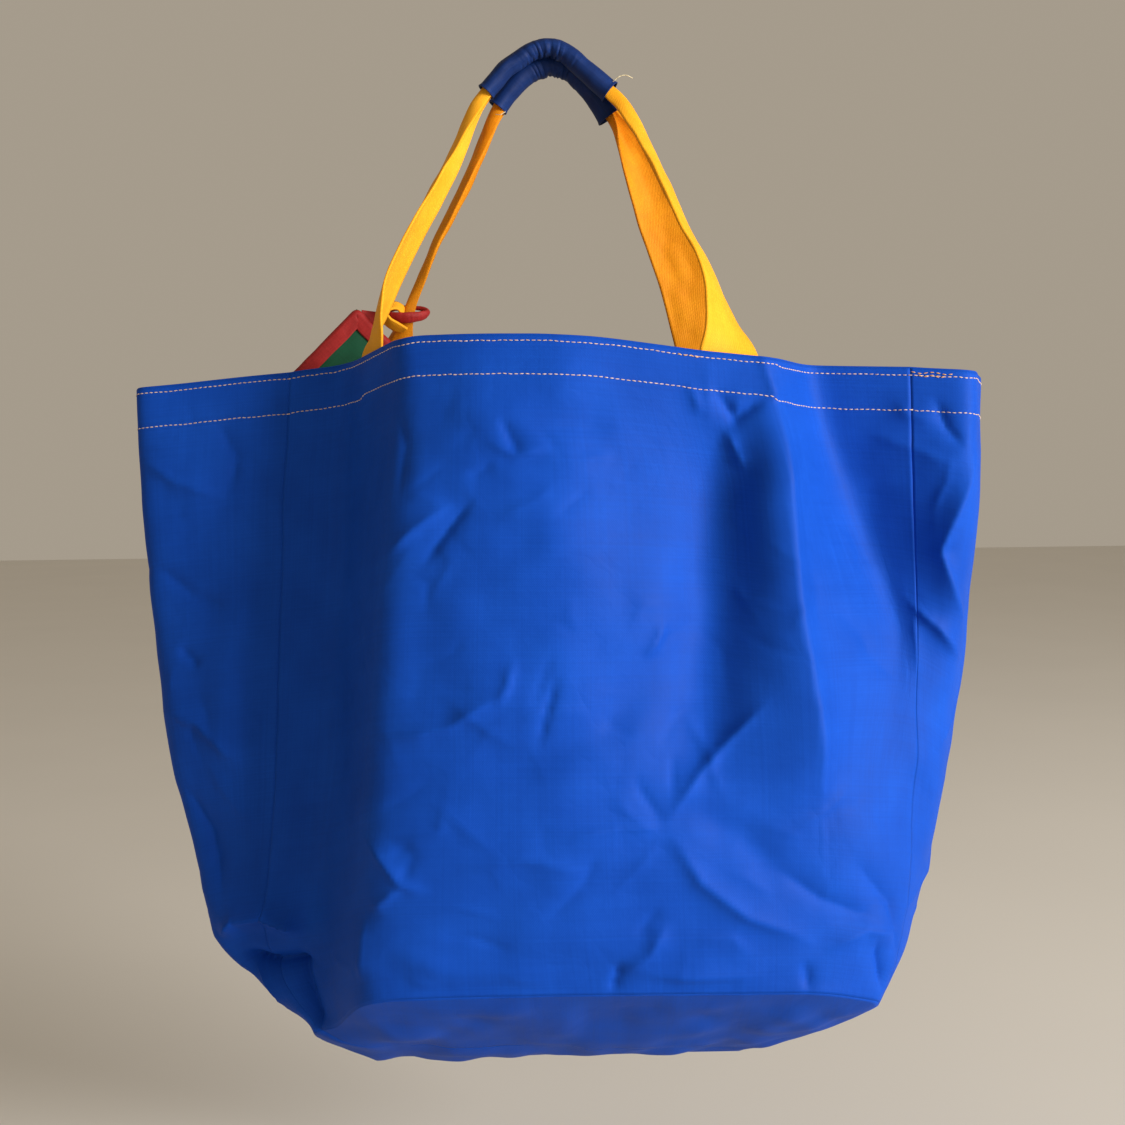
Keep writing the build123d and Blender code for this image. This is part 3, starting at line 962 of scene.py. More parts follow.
def pressed_folds() -> tuple[Crease, ...]:
    """Lists the folds that give this bag its character, from the rim down.

    Returns:
        The folds.
    """
    soft = {"sharp": False, "fade": 0.3}
    return (
        # the cone that fans out from the right handle's end, and the hollow beside it
        Crease(((116, -178), (121, -192), (126, -208)), 5.0, 4.0, 12.0, fade=0.25),
        Crease(
            ((125, -204), (129, -247), (133, -298), (139, -345), (146, -392), (150, -440)), 12.0, 38.0, 12.0,
            fade=0.2,
        ),
        Crease(
            ((104, -208), (96, -262), (90, -321), (84, -378), (74, -428)), -9.0, 26.0, 24.0,
            sharp=False, fade=0.22,
        ),
        Crease(((90, -198), (103, -217), (125, -203)), -5.0, 6.0, 8.0),
        Crease(((97, -222), (108, -248)), 3.6, 5.0, 8.0),
        Crease(((76, -196), (84, -216)), 2.2, 4.0, 7.0),
        # the sunken edge of the front left corner
        Crease(((-86, -205), (-92, -262), (-97, -330), (-104, -400), (-108, -450)), 4.0, 12.0, 26.0, **soft),
        Crease(((-128, -206), (-136, -300), (-140, -400), (-138, -500)), -7.0, 26.0, 20.0, **soft),
        # short creases high on the front
        Crease(((-97, -295), (-78, -277), (-57, -262)), 3.4, 4.0, 8.0),
        Crease(((-76, -299), (-60, -277), (-45, -259)), -3.2, 5.0, 8.0),
        Crease(((-40, -228), (-21, -236), (-3, -233)), 3.0, 4.0, 8.0),
        Crease(((-30, -214), (-20, -238)), -2.4, 3.5, 6.0),
        Crease(((-60, -205), (-20, -222), (30, -250)), 2.6, 12.0, 16.0, **soft),
        Crease(((-92, -205), (-84, -230), (-88, -262)), -2.2, 6.0, 7.0),
        # creases in the middle of the front
        Crease(((-103, -396), (-80, -393), (-61, -388), (-26, -366)), 3.4, 5.0, 9.0),
        Crease(((-11, -401), (-6, -380), (1, -357)), -2.4, 3.0, 6.0),
        Crease(((-34, -377), (-28, -366), (-24, -349)), 2.4, 3.0, 5.0),
        Crease(((51, -352), (58, -340), (62, -330)), 2.4, 3.0, 5.0),
        Crease(((-60, -404), (-20, -410), (24, -392), (58, -356)), -2.6, 14.0, 16.0, **soft),
        # star low on the left
        Crease(((-112, -450), (-90, -478), (-74, -483)), 3.6, 5.0, 8.0),
        Crease(((-109, -496), (-90, -479)), 3.2, 4.0, 7.0),
        Crease(((-90, -478), (-82, -460)), -1.4, 3.5, 4.5),
        Crease(((-60, -470), (-20, -462), (20, -472)), 1.8, 8.0, 10.0),
        # star low on the right, with its long arms
        Crease(((59, -445), (79, -417), (100, -395), (121, -375)), 4.4, 8.0, 5.0),
        Crease(((59, -445), (79, -478), (105, -499), (131, -510), (146, -518)), 4.4, 7.0, 12.0),
        Crease(((60, -446), (48, -428), (42, -414)), -1.8, 3.5, 4.5),
        Crease(((60, -446), (34, -445), (0, -450)), 2.4, 5.0, 8.0),
        Crease(((64, -430), (66, -404)), -1.3, 3.0, 4.0),
        Crease(((74, -440), (104, -452), (128, -484)), -3.0, 12.0, 12.0, **soft),
        # dents and ridges down the right side
        Crease(((249, -236), (240, -262), (228, -296), (236, -326), (246, -352)), 7.0, 12.0, 5.0),
        Crease(((207, -324), (226, -342), (243, -366)), 4.4, 4.0, 8.0),
        Crease(((186, -226), (214, -236), (238, -248)), 2.6, 12.0, 7.0),
        Crease(((222, -204), (230, -224), (240, -236)), -3.6, 5.0, 6.0),
        Crease(((200, -206), (208, -216), (226, -220)), 2.4, 7.0, 9.0),
        Crease(((212, -330), (214, -372)), 1.8, 5.0, 7.0),
        Crease(((205, -390), (224, -440), (218, -500)), 3.6, 13.0, 16.0, **soft),
        Crease(((168, -470), (192, -500), (200, -540)), -4.0, 9.0, 12.0),
        Crease(((120, -470), (150, -492), (186, -508)), -3.4, 8.0, 9.0),
        Crease(((150, -522), (176, -512), (204, -522)), 3.0, 7.0, 8.0),
        # dents down the left side
        Crease(((-262, -236), (-240, -250), (-206, -262)), 3.8, 7.0, 12.0),
        Crease(((-240, -354), (-225, -368)), -3.4, 4.0, 7.0),
        Crease(((-258, -300), (-230, -322), (-204, -330)), -3.2, 8.0, 10.0),
        Crease(((-252, -396), (-228, -402), (-196, -428)), 4.6, 7.0, 12.0),
        Crease(((-240, -440), (-222, -470), (-212, -512)), -4.6, 7.0, 12.0),
        Crease(((-200, -300), (-206, -380), (-208, -470)), 3.6, 18.0, 24.0, **soft),
        Crease(((-214, -210), (-200, -236), (-206, -262)), -2.6, 7.0, 8.0),
        # the tuck at the bottom left: a lip with a dark gap under it
        Crease(((-214, -536), (-202, -524), (-184, -520), (-158, -528)), 13.0, 7.0, 16.0, fade=0.2),
        Crease(((-200, -545), (-182, -549), (-156, -545)), -15.0, 11.0, 4.0, fade=0.2),
        Crease(((-166, -542), (-156, -572), (-148, -600)), -11.0, 8.0, 9.0),
        Crease(((-196, -552), (-178, -572), (-160, -600)), 6.0, 8.0, 8.0),
        # small tucks where the front meets the base
        Crease(((33, -522), (28, -545)), -3.4, 3.5, 6.0),
        Crease(((40, -530), (70, -534), (118, -534)), 2.8, 5.0, 9.0),
        Crease(((139, -526), (142, -548)), -3.4, 3.5, 6.0),
        Crease(((182, -518), (188, -552)), -5.0, 5.0, 8.0),
        Crease(((60, -500), (50, -520), (34, -530)), 3.2, 7.0, 9.0),
        Crease(((-100, -520), (-60, -530), (0, -528)), 2.4, 11.0, 10.0, **soft),
        Crease(((-113, -500), (-116, -540)), 3.5, 6.0, 8.0),
    )


@dataclass(frozen=True)
class Wall:
    """One wall of the bag: its ring positions from seam to seam and its flat size in metres."""

    side: Side
    start: float
    end: float
    flat: tuple[float, float]


@dataclass
class Shell:
    """The sewn body of the bag: four walls, the base, the turned-in hems and the fold along the rim.
    """

    shape: HangingShape
    finishes: Finishes
    cloth: float = 1.0
    hem: float = 25.0
    hem_cloth: float = 0.9
    hem_gap: float = 0.15
    rows_per_wall: int = 190
    step: float = 2.1
    wall_run: float = 0.40
    bend_height: float = -0.35
    fixed_y: float = 14.0 * MM
    moving_y: float = -38.0 * MM
    panels: tuple[Wall, ...] = (
        Wall(Side.FRONT, 0.0, 7.0, (0.424, 0.412)),
        Wall(Side.RIGHT, 7.0, 10.0, (0.150, 0.385)),
        Wall(Side.BACK, 10.0, 11.0, (0.424, 0.412)),
        Wall(Side.LEFT, 11.0, RING_END, (0.160, 0.385)),
    )

    def across(self, ring: np.ndarray) -> np.ndarray:
        """Cloth length round the bag to each ring position, in metres."""
        return np.interp(ring, self.shape.knots, np.cumsum((0.0, *self.shape.cloth_lengths))) * MM

    def ring_columns(self, wall: Wall) -> np.ndarray:
        """Ring positions across one wall, evenly spaced along its cloth."""
        start, end = self.across(np.array([wall.start, wall.end])) / MM
        even = np.linspace(start, end, max(int((end - start) / self.step), 12))
        return np.interp(even, np.cumsum((0.0, *self.shape.cloth_lengths)), self.shape.knots)

    def all_round(self) -> np.ndarray:
        """Ring positions of every wall in turn, each seam once."""
        return np.concatenate([self.ring_columns(wall)[:-1] for wall in self.panels])

    def follow(self, piece: bpy.types.Object) -> bpy.types.Object:
        """Bakes the transform of a piece of the shell into its mesh."""
        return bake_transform(piece)

    def layer(
        self, name: str, turns: np.ndarray, drops: np.ndarray, depths: Sequence[float], run: float,
    ) -> bpy.types.Object:
        """Makes one layer of cloth on a wall.

        Args:
            name: the object's name.
            turns: ring positions.
            drops: drops below the rim, as the shape takes them.
            depths: how far inside the outer face its two faces lie, in millimetres.
            run: cloth length for one unit of drop, in metres.

        Returns:
            The layer.
        """
        outer, inner = (self.shape.wall(turns, drops, depth)[:, ::-1] for depth in depths)
        uv = np.stack([self.across(turns), run * drops], axis=-1)
        return shell_mesh(name, outer, inner, uv[:, ::-1])

    def walls(self) -> list[bpy.types.Object]:
        """Builds the four walls.

        Returns:
            The wall pieces, dressed.
        """
        made = []
        for wall in self.panels:
            turns, drops = np.meshgrid(self.ring_columns(wall), np.linspace(0.0, 1.0, self.rows_per_wall))
            piece = self.layer(f"{wall.side.value}_cloth", turns, drops, (0.0, self.cloth), -self.wall_run)
            kind = "panel" if wall.side in (Side.FRONT, Side.BACK) else "gusset"
            dress(piece, self.finishes.cloth, Slot.CLOTH, f"{wall.side.value}_{kind}")
            made.append(self.follow(piece))
        return made

    def base_panel(self) -> bpy.types.Object:
        """Builds the base, from its seam in to its middle line.

        Returns:
            The base piece.
        """
        turns, spreads = np.meshgrid(self.all_round(), np.linspace(1.0, 0.0, 34))
        points = self.shape.base(spreads, turns)
        piece = grid_mesh("base_cloth", points[:, ::-1], points[:, ::-1, :2], wrap=True)
        weld = piece.modifiers.new("close_middle", "WELD")
        weld.merge_threshold = 0.1 * MM
        thicken(piece, self.cloth * MM)
        dress(piece, self.finishes.cloth, Slot.CLOTH, "base_panel")
        return self.follow(piece)

    def hems(self) -> list[bpy.types.Object]:
        """Builds the cloth turned in behind the rim, wall by wall.

        Returns:
            The hem pieces.
        """
        made = []
        outside = self.cloth + self.hem_gap
        depths = outside, outside + self.hem_cloth
        for wall in self.panels:
            turns, drops = np.meshgrid(self.ring_columns(wall), -np.linspace(0.01, 1.0, 14) * self.hem)
            piece = self.layer(f"{wall.side.value}_turned_hem", turns, drops, depths, MM)
            # The hems take the darker copy of the blue cloth, which is painted shade.
            dress(piece, self.finishes.painted_shade_hem_cloth, Slot.CLOTH, f"{wall.side.value}_hem_facing")
            made.append(self.follow(piece))
        return made

    def rim_roll(self) -> bpy.types.Object:
        """Builds the rounded fold along the top of the hem, all the way round.

        Returns:
            The rim piece.
        """
        ring = self.all_round()
        around = np.linspace(0.0, math.pi, 7)
        thickness = self.cloth + self.hem_cloth + self.hem_gap
        rows = []
        for angle in around:
            depth = thickness * 0.5 * (1.0 - math.cos(angle))
            lifted = self.shape.wall(ring, np.full(ring.shape, -0.02), depth)
            lifted[:, 2] += thickness * 0.42 * math.sin(angle) * MM
            rows.append(lifted)
        points = np.stack(rows)
        uv = np.stack(np.broadcast_arrays(self.across(ring)[None, :], around[:, None] * MM), axis=-1)
        piece = grid_mesh("rim_fold", points, uv, wrap=True)
        thicken(piece, 0.3 * MM)
        dress(piece, self.finishes.cloth, Slot.CLOTH)
        return self.follow(piece)

    def build(self) -> list[bpy.types.Object]:
        """Builds every cloth piece of the body.

        Returns:
            The pieces.
        """
        return [*self.walls(), self.base_panel(), *self.hems(), self.rim_roll()]


# ---------------------------------------------------------------------- stitches


@dataclass
class StitchRow:
    """Sewing thread laid as a row of short stitches along a path, made with Geometry Nodes."""

    name: str
    path: np.ndarray
    material: bpy.types.Material
    pitch: float = 3.2 * MM
    length: float = 2.5 * MM
    thread: float = 0.32 * MM
    wobble: float = 0.10

    def tree(self) -> bpy.types.NodeTree:
        """Builds the node tree.

        Returns:
            A tree with inputs for pitch, stitch length, thread radius and material.
        """
        tree = bpy.data.node_groups.new(f"{self.name}_stitches", "GeometryNodeTree")
        sockets = tree.interface
        sockets.new_socket("Path", in_out="INPUT", socket_type="NodeSocketGeometry")
        for label in ("Pitch", "Stitch Length", "Thread Radius"):
            sockets.new_socket(label, in_out="INPUT", socket_type="NodeSocketFloat")
        sockets.new_socket("Thread", in_out="INPUT", socket_type="NodeSocketMaterial")
        sockets.new_socket("Stitches", in_out="OUTPUT", socket_type="NodeSocketGeometry")

        def add(kind: str, **settings: object) -> bpy.types.Node:
            """Adds one node with its settings."""
            node = tree.nodes.new(kind)
            for attribute, value in settings.items():
                setattr(node, attribute, value)
            return node

        given, result = add("NodeGroupInput"), add("NodeGroupOutput")
        points = add("GeometryNodeCurveToPoints", mode="LENGTH")
        stitch = add("GeometryNodeMeshUVSphere")
        stitch.inputs["Segments"].default_value = 6
        stitch.inputs["Rings"].default_value = 5
        shaped = add("GeometryNodeTransform")
        scale = add("ShaderNodeCombineXYZ")
        half = add("ShaderNodeMath", operation="MULTIPLY")
        half.inputs[1].default_value = 0.5
        smooth = add("GeometryNodeSetShadeSmooth")
        spread = add("GeometryNodeInstanceOnPoints")
        wobble = add("FunctionNodeRandomValue", data_type="FLOAT_VECTOR")
        wobble.inputs["Min"].default_value = (-self.wobble,) * 3
        wobble.inputs["Max"].default_value = (self.wobble,) * 3
        wobble.inputs["Seed"].default_value = 3
        turned = add("FunctionNodeRotateRotation", rotation_space="LOCAL")
        realize, paint = add("GeometryNodeRealizeInstances"), add("GeometryNodeSetMaterial")
        for source, output, target, entry in (
            (given, "Path", points, "Curve"),
            (given, "Pitch", points, "Length"),
            (given, "Stitch Length", half, 0),
            (given, "Thread Radius", scale, "X"),
            (given, "Thread Radius", scale, "Y"),
            (half, 0, scale, "Z"),
            (stitch, "Mesh", shaped, "Geometry"),
            (scale, 0, shaped, "Scale"),
            (shaped, 0, smooth, "Geometry"),
            (points, "Points", spread, "Points"),
            (smooth, 0, spread, "Instance"),
            (points, "Rotation", turned, "Rotation"),
            (wobble, "Value", turned, "Rotate By"),
            (turned, 0, spread, "Rotation"),
            (spread, 0, realize, 0),
            (realize, 0, paint, "Geometry"),
            (given, "Thread", paint, "Material"),
            (paint, 0, result, "Stitches"),
        ):
            tree.links.new(source.outputs[output], target.inputs[entry])
        return tree

    def build(self) -> bpy.types.Object:
        """Lays the row.

        Returns:
            The stitches as one plain mesh.
        """
        curve = bpy.data.curves.new(f"{self.name}_path", "CURVE")
        curve.dimensions = "3D"
        line = curve.splines.new("POLY")
        line.points.add(len(self.path) - 1)
        flat = np.concatenate([self.path, np.ones((len(self.path), 1))], axis=1)
        line.points.foreach_set("co", flat.astype(np.float32).ravel())
        holder = bpy.data.objects.new(f"{self.name}_path", curve)
        bpy.context.scene.collection.objects.link(holder)
        tree = self.tree()
        layer = holder.modifiers.new("stitches", "NODES")
        layer.node_group = tree
        names = {item.name: item.identifier for item in tree.interface.items_tree if item.in_out == "INPUT"}
        given = {"Pitch": self.pitch, "Stitch Length": self.length, "Thread Radius": self.thread}
        for label, value in {**given, "Thread": self.material}.items():
            layer[names[label]] = value
        bpy.context.view_layer.update()
        evaluated = holder.evaluated_get(bpy.context.evaluated_depsgraph_get())
        mesh = bpy.data.meshes.new_from_object(evaluated)
        mesh.name = self.name
        made = bpy.data.objects.new(self.name, mesh)
        bpy.context.scene.collection.objects.link(made)
        bpy.data.objects.remove(holder)
        return made


@dataclass
class RimThreads:
    """The two rows of thread that hold the rim hem, wall by wall.

    Each row lists ring positions with its drop below the rim in millimetres. The golden back-tacks run over
    the doubled spans, and the cream thread stands out of the cloth by the given millimetres.
    """

    shell: Shell
    finishes: Finishes
    rows: tuple[tuple[tuple[float, float], ...], ...] = (
        ((0.0, 3.2), (6.02, 3.0), (6.06, 4.0), (14.0, 3.2)),
        (
            (0.0, 25.0), (1.30, 24.6), (1.36, 22.6), (2.1, 22.0), (5.95, 21.2), (5.98, 23.6), (6.4, 24.6),
            (14.0, 25.0),
        ),
    )
    doubled: tuple[tuple[float, float], ...] = ((7.05, 7.62), (5.02, 5.20), (7.15, 7.5))
    stand: float = 0.12

    def drop(self, row: int, ring: np.ndarray) -> np.ndarray:
        """How far a row lies below the rim at each ring position, in millimetres."""
        known = np.asarray(self.rows[row])
        wander = 0.25 * smooth_noise(ring * 9.0, ring * 0.0, 1.0, 40 + row)
        return np.interp(ring, known[:, 0], known[:, 1]) + wander

    def back_tacks(self) -> bpy.types.Object:
        """Lays the doubled golden stitches that lock the upper row at its ends.

        Returns:
            The stitches as one piece.
        """
        runs = []
        for number, (start, end) in enumerate(self.doubled):
            ring = np.linspace(start, end, 24)
            drop = 2.2 + 0.9 * number + 0.5 * np.sin(np.linspace(0.0, 9.0, len(ring)))
            path = self.shell.shape.wall(ring, -drop, -self.stand - 0.1)
            runs.append(StitchRow(f"back_tack_{number}", path, self.finishes.gold_thread).build())
        return join(runs, "rim_back_tacks")

    def build(self) -> list[bpy.types.Object]:
        """Lays both rows on each wall.

        Returns:
            One piece for each wall.
        """
        made = []
        for wall in self.shell.panels:
            side = wall.side
            ring = self.shell.ring_columns(wall)
            rows = []
            for number in range(len(self.rows)):
                name = f"{side.value}_thread_row_{number}"
                path = self.shell.shape.wall(ring, -self.drop(number, ring), -self.stand)
                rows.append(StitchRow(name, path, self.finishes.cream_thread).build())
            piece = join(rows, f"{side.value}_rim_threads")
            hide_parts(f"{side.value}_rim_stitching")
            made.append(self.shell.follow(piece))
        made.append(self.shell.follow(self.back_tacks()))
        return made


# ---------------------------------------------------------------------- handles


@dataclass(frozen=True)
class Station:
    """One place along a strand of webbing.

    Across is the direction of the webbing's width before it is squared to the strand. Cup is how far the
    webbing curls along its length, in degrees from edge to edge, and gather is the share of its width that is
    left.
    """

    place: tuple[float, float, float]
    across: tuple[float, float, float]
    cup: float = 8.0
    gather: float = 1.0


@dataclass
class Strand:
    """A length of woven webbing that curls and twists along its way, with its sizes in millimetres."""

    name: str
    stations: tuple[Station, ...]
    width: float = 38.0
    thickness: float = 1.5
    columns: int = 22
    rows: int = 150
    ripple: float = 0.5
    seed: int = 1

    def carried(self, values: Sequence[Sequence[float]]) -> np.ndarray:
        """Carries values smoothly along the strand.

        Args:
            values: one or more values at each station.

        Returns:
            The values at each row of the strand.
        """
        reach = running(np.array([s.place for s in self.stations], float))
        raw = looked_up(np.linspace(0.0, reach[-1], self.rows), reach, np.asarray(values, float))
        window = np.ones(11) / 11.0
        padded = np.pad(raw, ((5, 5), (0, 0)), mode="edge")
        return np.stack([np.convolve(column, window, mode="valid") for column in padded.T], axis=1)

    def build(self) -> bpy.types.Object:
        """Builds the strand.

        Returns:
            A closed ribbon with the webbing's thickness.
        """
        centre = through([s.place for s in self.stations], self.rows)
        tangent = unit(np.gradient(centre, axis=0))
        across = self.carried([s.across for s in self.stations])
        across = unit(across - tangent * (across * tangent).sum(axis=1, keepdims=True))
        normal = np.cross(tangent, across)
        cup = np.radians(self.carried([[s.cup] for s in self.stations]))
        gather = self.carried([[s.gather] for s in self.stations])
        edge = np.linspace(-0.5, 0.5, self.columns)[None, :]
        half = np.maximum(np.abs(cup), 0.02) * np.sign(np.where(cup == 0, 1.0, cup))
        radius = self.width / half
        side = radius * np.sin(edge * half) * gather
        depth = radius * (1.0 - np.cos(edge * half)) * gather**0.6
        depth = depth - depth.mean(axis=1, keepdims=True)
        along = np.linspace(0.0, 1.0, self.rows)[:, None] * np.ones_like(edge)
        run = along * running(centre)[-1]
        depth = depth + self.ripple * smooth_noise(edge * 60.0 + 7.0 * self.seed, run, 13.0, self.seed)
        side = side + 0.5 * smooth_noise(edge * 2.0, run, 17.0, self.seed + 9)
        points = centre[:, None] + across[:, None] * side[..., None] + normal[:, None] * depth[..., None]
        uv = np.stack([edge * self.width * np.ones_like(run), run], axis=-1) * MM
        piece = grid_mesh(self.name, points * MM, uv)
        return thicken(piece, self.thickness * MM, 0.0)


@dataclass
class Grip:
    """A gathered cloth sleeve round the top of one handle."""

    name: str
    path: tuple[tuple[float, float, float], ...]
    half_heights: tuple[float, float, float]
    half_depth: float = 7.0
    rows: int = 260
    columns: int = 60
    cloth: float = 0.7
    seed: int = 5

    def build(self) -> bpy.types.Object:
        """Builds the sleeve.

        Returns:
            An open tube, finely puckered over the peg and creased along its legs, with a turned edge at each
            end.
        """
        centre = through(self.path, self.rows)
        tangent = unit(np.gradient(centre, axis=0))
        depth_way = np.tile(np.array([[0.0, 1.0, 0.0]]), (self.rows, 1))
        depth_way = unit(depth_way - tangent * (depth_way * tangent).sum(axis=1, keepdims=True))
        height_way = np.cross(tangent, depth_way)
        share = np.linspace(0.0, 1.0, self.rows)[:, None]
        angle = np.linspace(0.0, 2.0 * math.pi, self.columns, endpoint=False)[None, :]
        run = share * running(centre)[-1]
        bunched = np.exp(-(((share - 0.5) / 0.17) ** 2))
        lean = run + 1.6 * np.sin(angle * 1.0 + 0.6)
        pucker = smooth_noise(lean, 1.6 * np.cos(angle) + 9.0, 1.25, self.seed)
        pucker += 0.5 * smooth_noise(lean, 2.0 * np.cos(angle), 2.6, self.seed + 1)
        legs = smooth_noise(run * 0.22, 4.0 * np.sin(angle) + 20.0, 2.1, self.seed + 3)
        legs += 0.4 * smooth_noise(run, 3.0 * np.sin(angle), 6.0, self.seed + 4)
        inner = 0.5 - 0.42 * np.sin(angle)
        rise = 1.1 * pucker * bunched * inner + 0.5 * legs * (1.0 - 0.7 * bunched)
        cuff = 0.5 * np.exp(-((np.minimum(share, 1.0 - share) / 0.015) ** 2))
        tall = np.interp(share, [0.0, 0.5, 1.0], self.half_heights)
        across = (self.half_depth + rise + cuff) * np.cos(angle)
        up = (tall + rise + cuff) * np.sin(angle)
        points = centre[:, None] + depth_way[:, None] * across[..., None]
        points = points + height_way[:, None] * up[..., None]
        uv = np.stack([angle * self.half_depth * np.ones_like(run), run * np.ones_like(angle)], axis=-1) * MM
        piece = grid_mesh(self.name, points[::-1] * MM, uv[::-1], wrap=True)
        return thicken(piece, self.cloth * MM)


@dataclass
class Handle:
    """One handle: two strands, the grip, and the tabs sewn inside the hem.

    Bend from and bend to are two points, in metres, that are not used. Loose are the lines of loose thread
    ends, in millimetres.
    Each tab is tacked at two shares of its length, over a share of the webbing's width to each side.
    """

    side: Side
    body: str
    parent: str
    left: Strand
    right: Strand
    grip: Grip
    bend_from: tuple[float, float, float]
    bend_to: tuple[float, float, float]
    loose: tuple[tuple[tuple[float, float, float], ...], ...]
    finishes: Finishes
    tack_shares: tuple[float, float] = (0.15, 0.85)
    tack_reach: float = 0.42
    tack_stand: float = 0.3

    def tacks(self) -> bpy.types.Object:
        """Sews both tabs to the hem with two short rows each.

        Returns:
            The four rows as one piece.
        """
        inside = 1.0 if self.side is Side.FRONT else -1.0
        runs = []
        for strand in (self.left, self.right):
            low, top = strand.stations[:2]
            for share in self.tack_shares:
                middle = np.asarray(low.place) * share + np.asarray(top.place) * (1.0 - share)
                middle[1] += inside * (strand.thickness / 2.0 + self.tack_stand)
                reach = np.linspace(-self.tack_reach, self.tack_reach, 24)[:, None] * strand.width
                path = (middle + unit(np.asarray(low.across)) * reach) * MM
                runs.append(StitchRow(f"{strand.name}_tack_{share}", path, self.finishes.gold_thread).build())
        piece = join(runs, f"{self.side.value}_tab_tacks")
        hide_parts(f"{self.side.value}_tack_stitching")
        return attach(piece, self.parent)

    def build(self) -> list[bpy.types.Object]:
        """Builds the handle, puts its grip and loose threads on its own body and its tacks on the other.

        Returns:
            The pieces.
        """
        name = self.side.value
        # The back handle takes the darker copy of the webbing, which is painted shade.
        material = self.finishes.webbing if self.side is Side.FRONT else self.finishes.painted_shade_back_webbing
        pieces = []
        for label, strand in (("left", self.left), ("right", self.right)):
            nodes = f"{name}_handle_{label}_end", f"{name}_handle_webbing"
            piece = dress(strand.build(), material, Slot.WEBBING, *nodes)
            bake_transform(piece)
            pieces.append(piece)
        for number, line in enumerate(self.loose):
            stations = tuple(Station(place, (0.0, 1.0, 0.0), 2.0) for place in line)
            sizes = {"width": 0.5, "thickness": 0.45, "columns": 4, "rows": 30, "ripple": 0.0, "seed": 2}
            thread = Strand(f"{name}_loose_thread_{number}", stations, **sizes).build()
            pieces.append(dress(thread, self.finishes.loose_thread, Slot.THREAD, body=self.body))
        sleeve = self.grip.build()
        pieces.append(dress(sleeve, self.finishes.grip, Slot.GRIP, f"{name}_grip_sleeve", body=self.body))
        return [*pieces, self.tacks()]


# ---------------------------------------------------------------------- pouch and loop


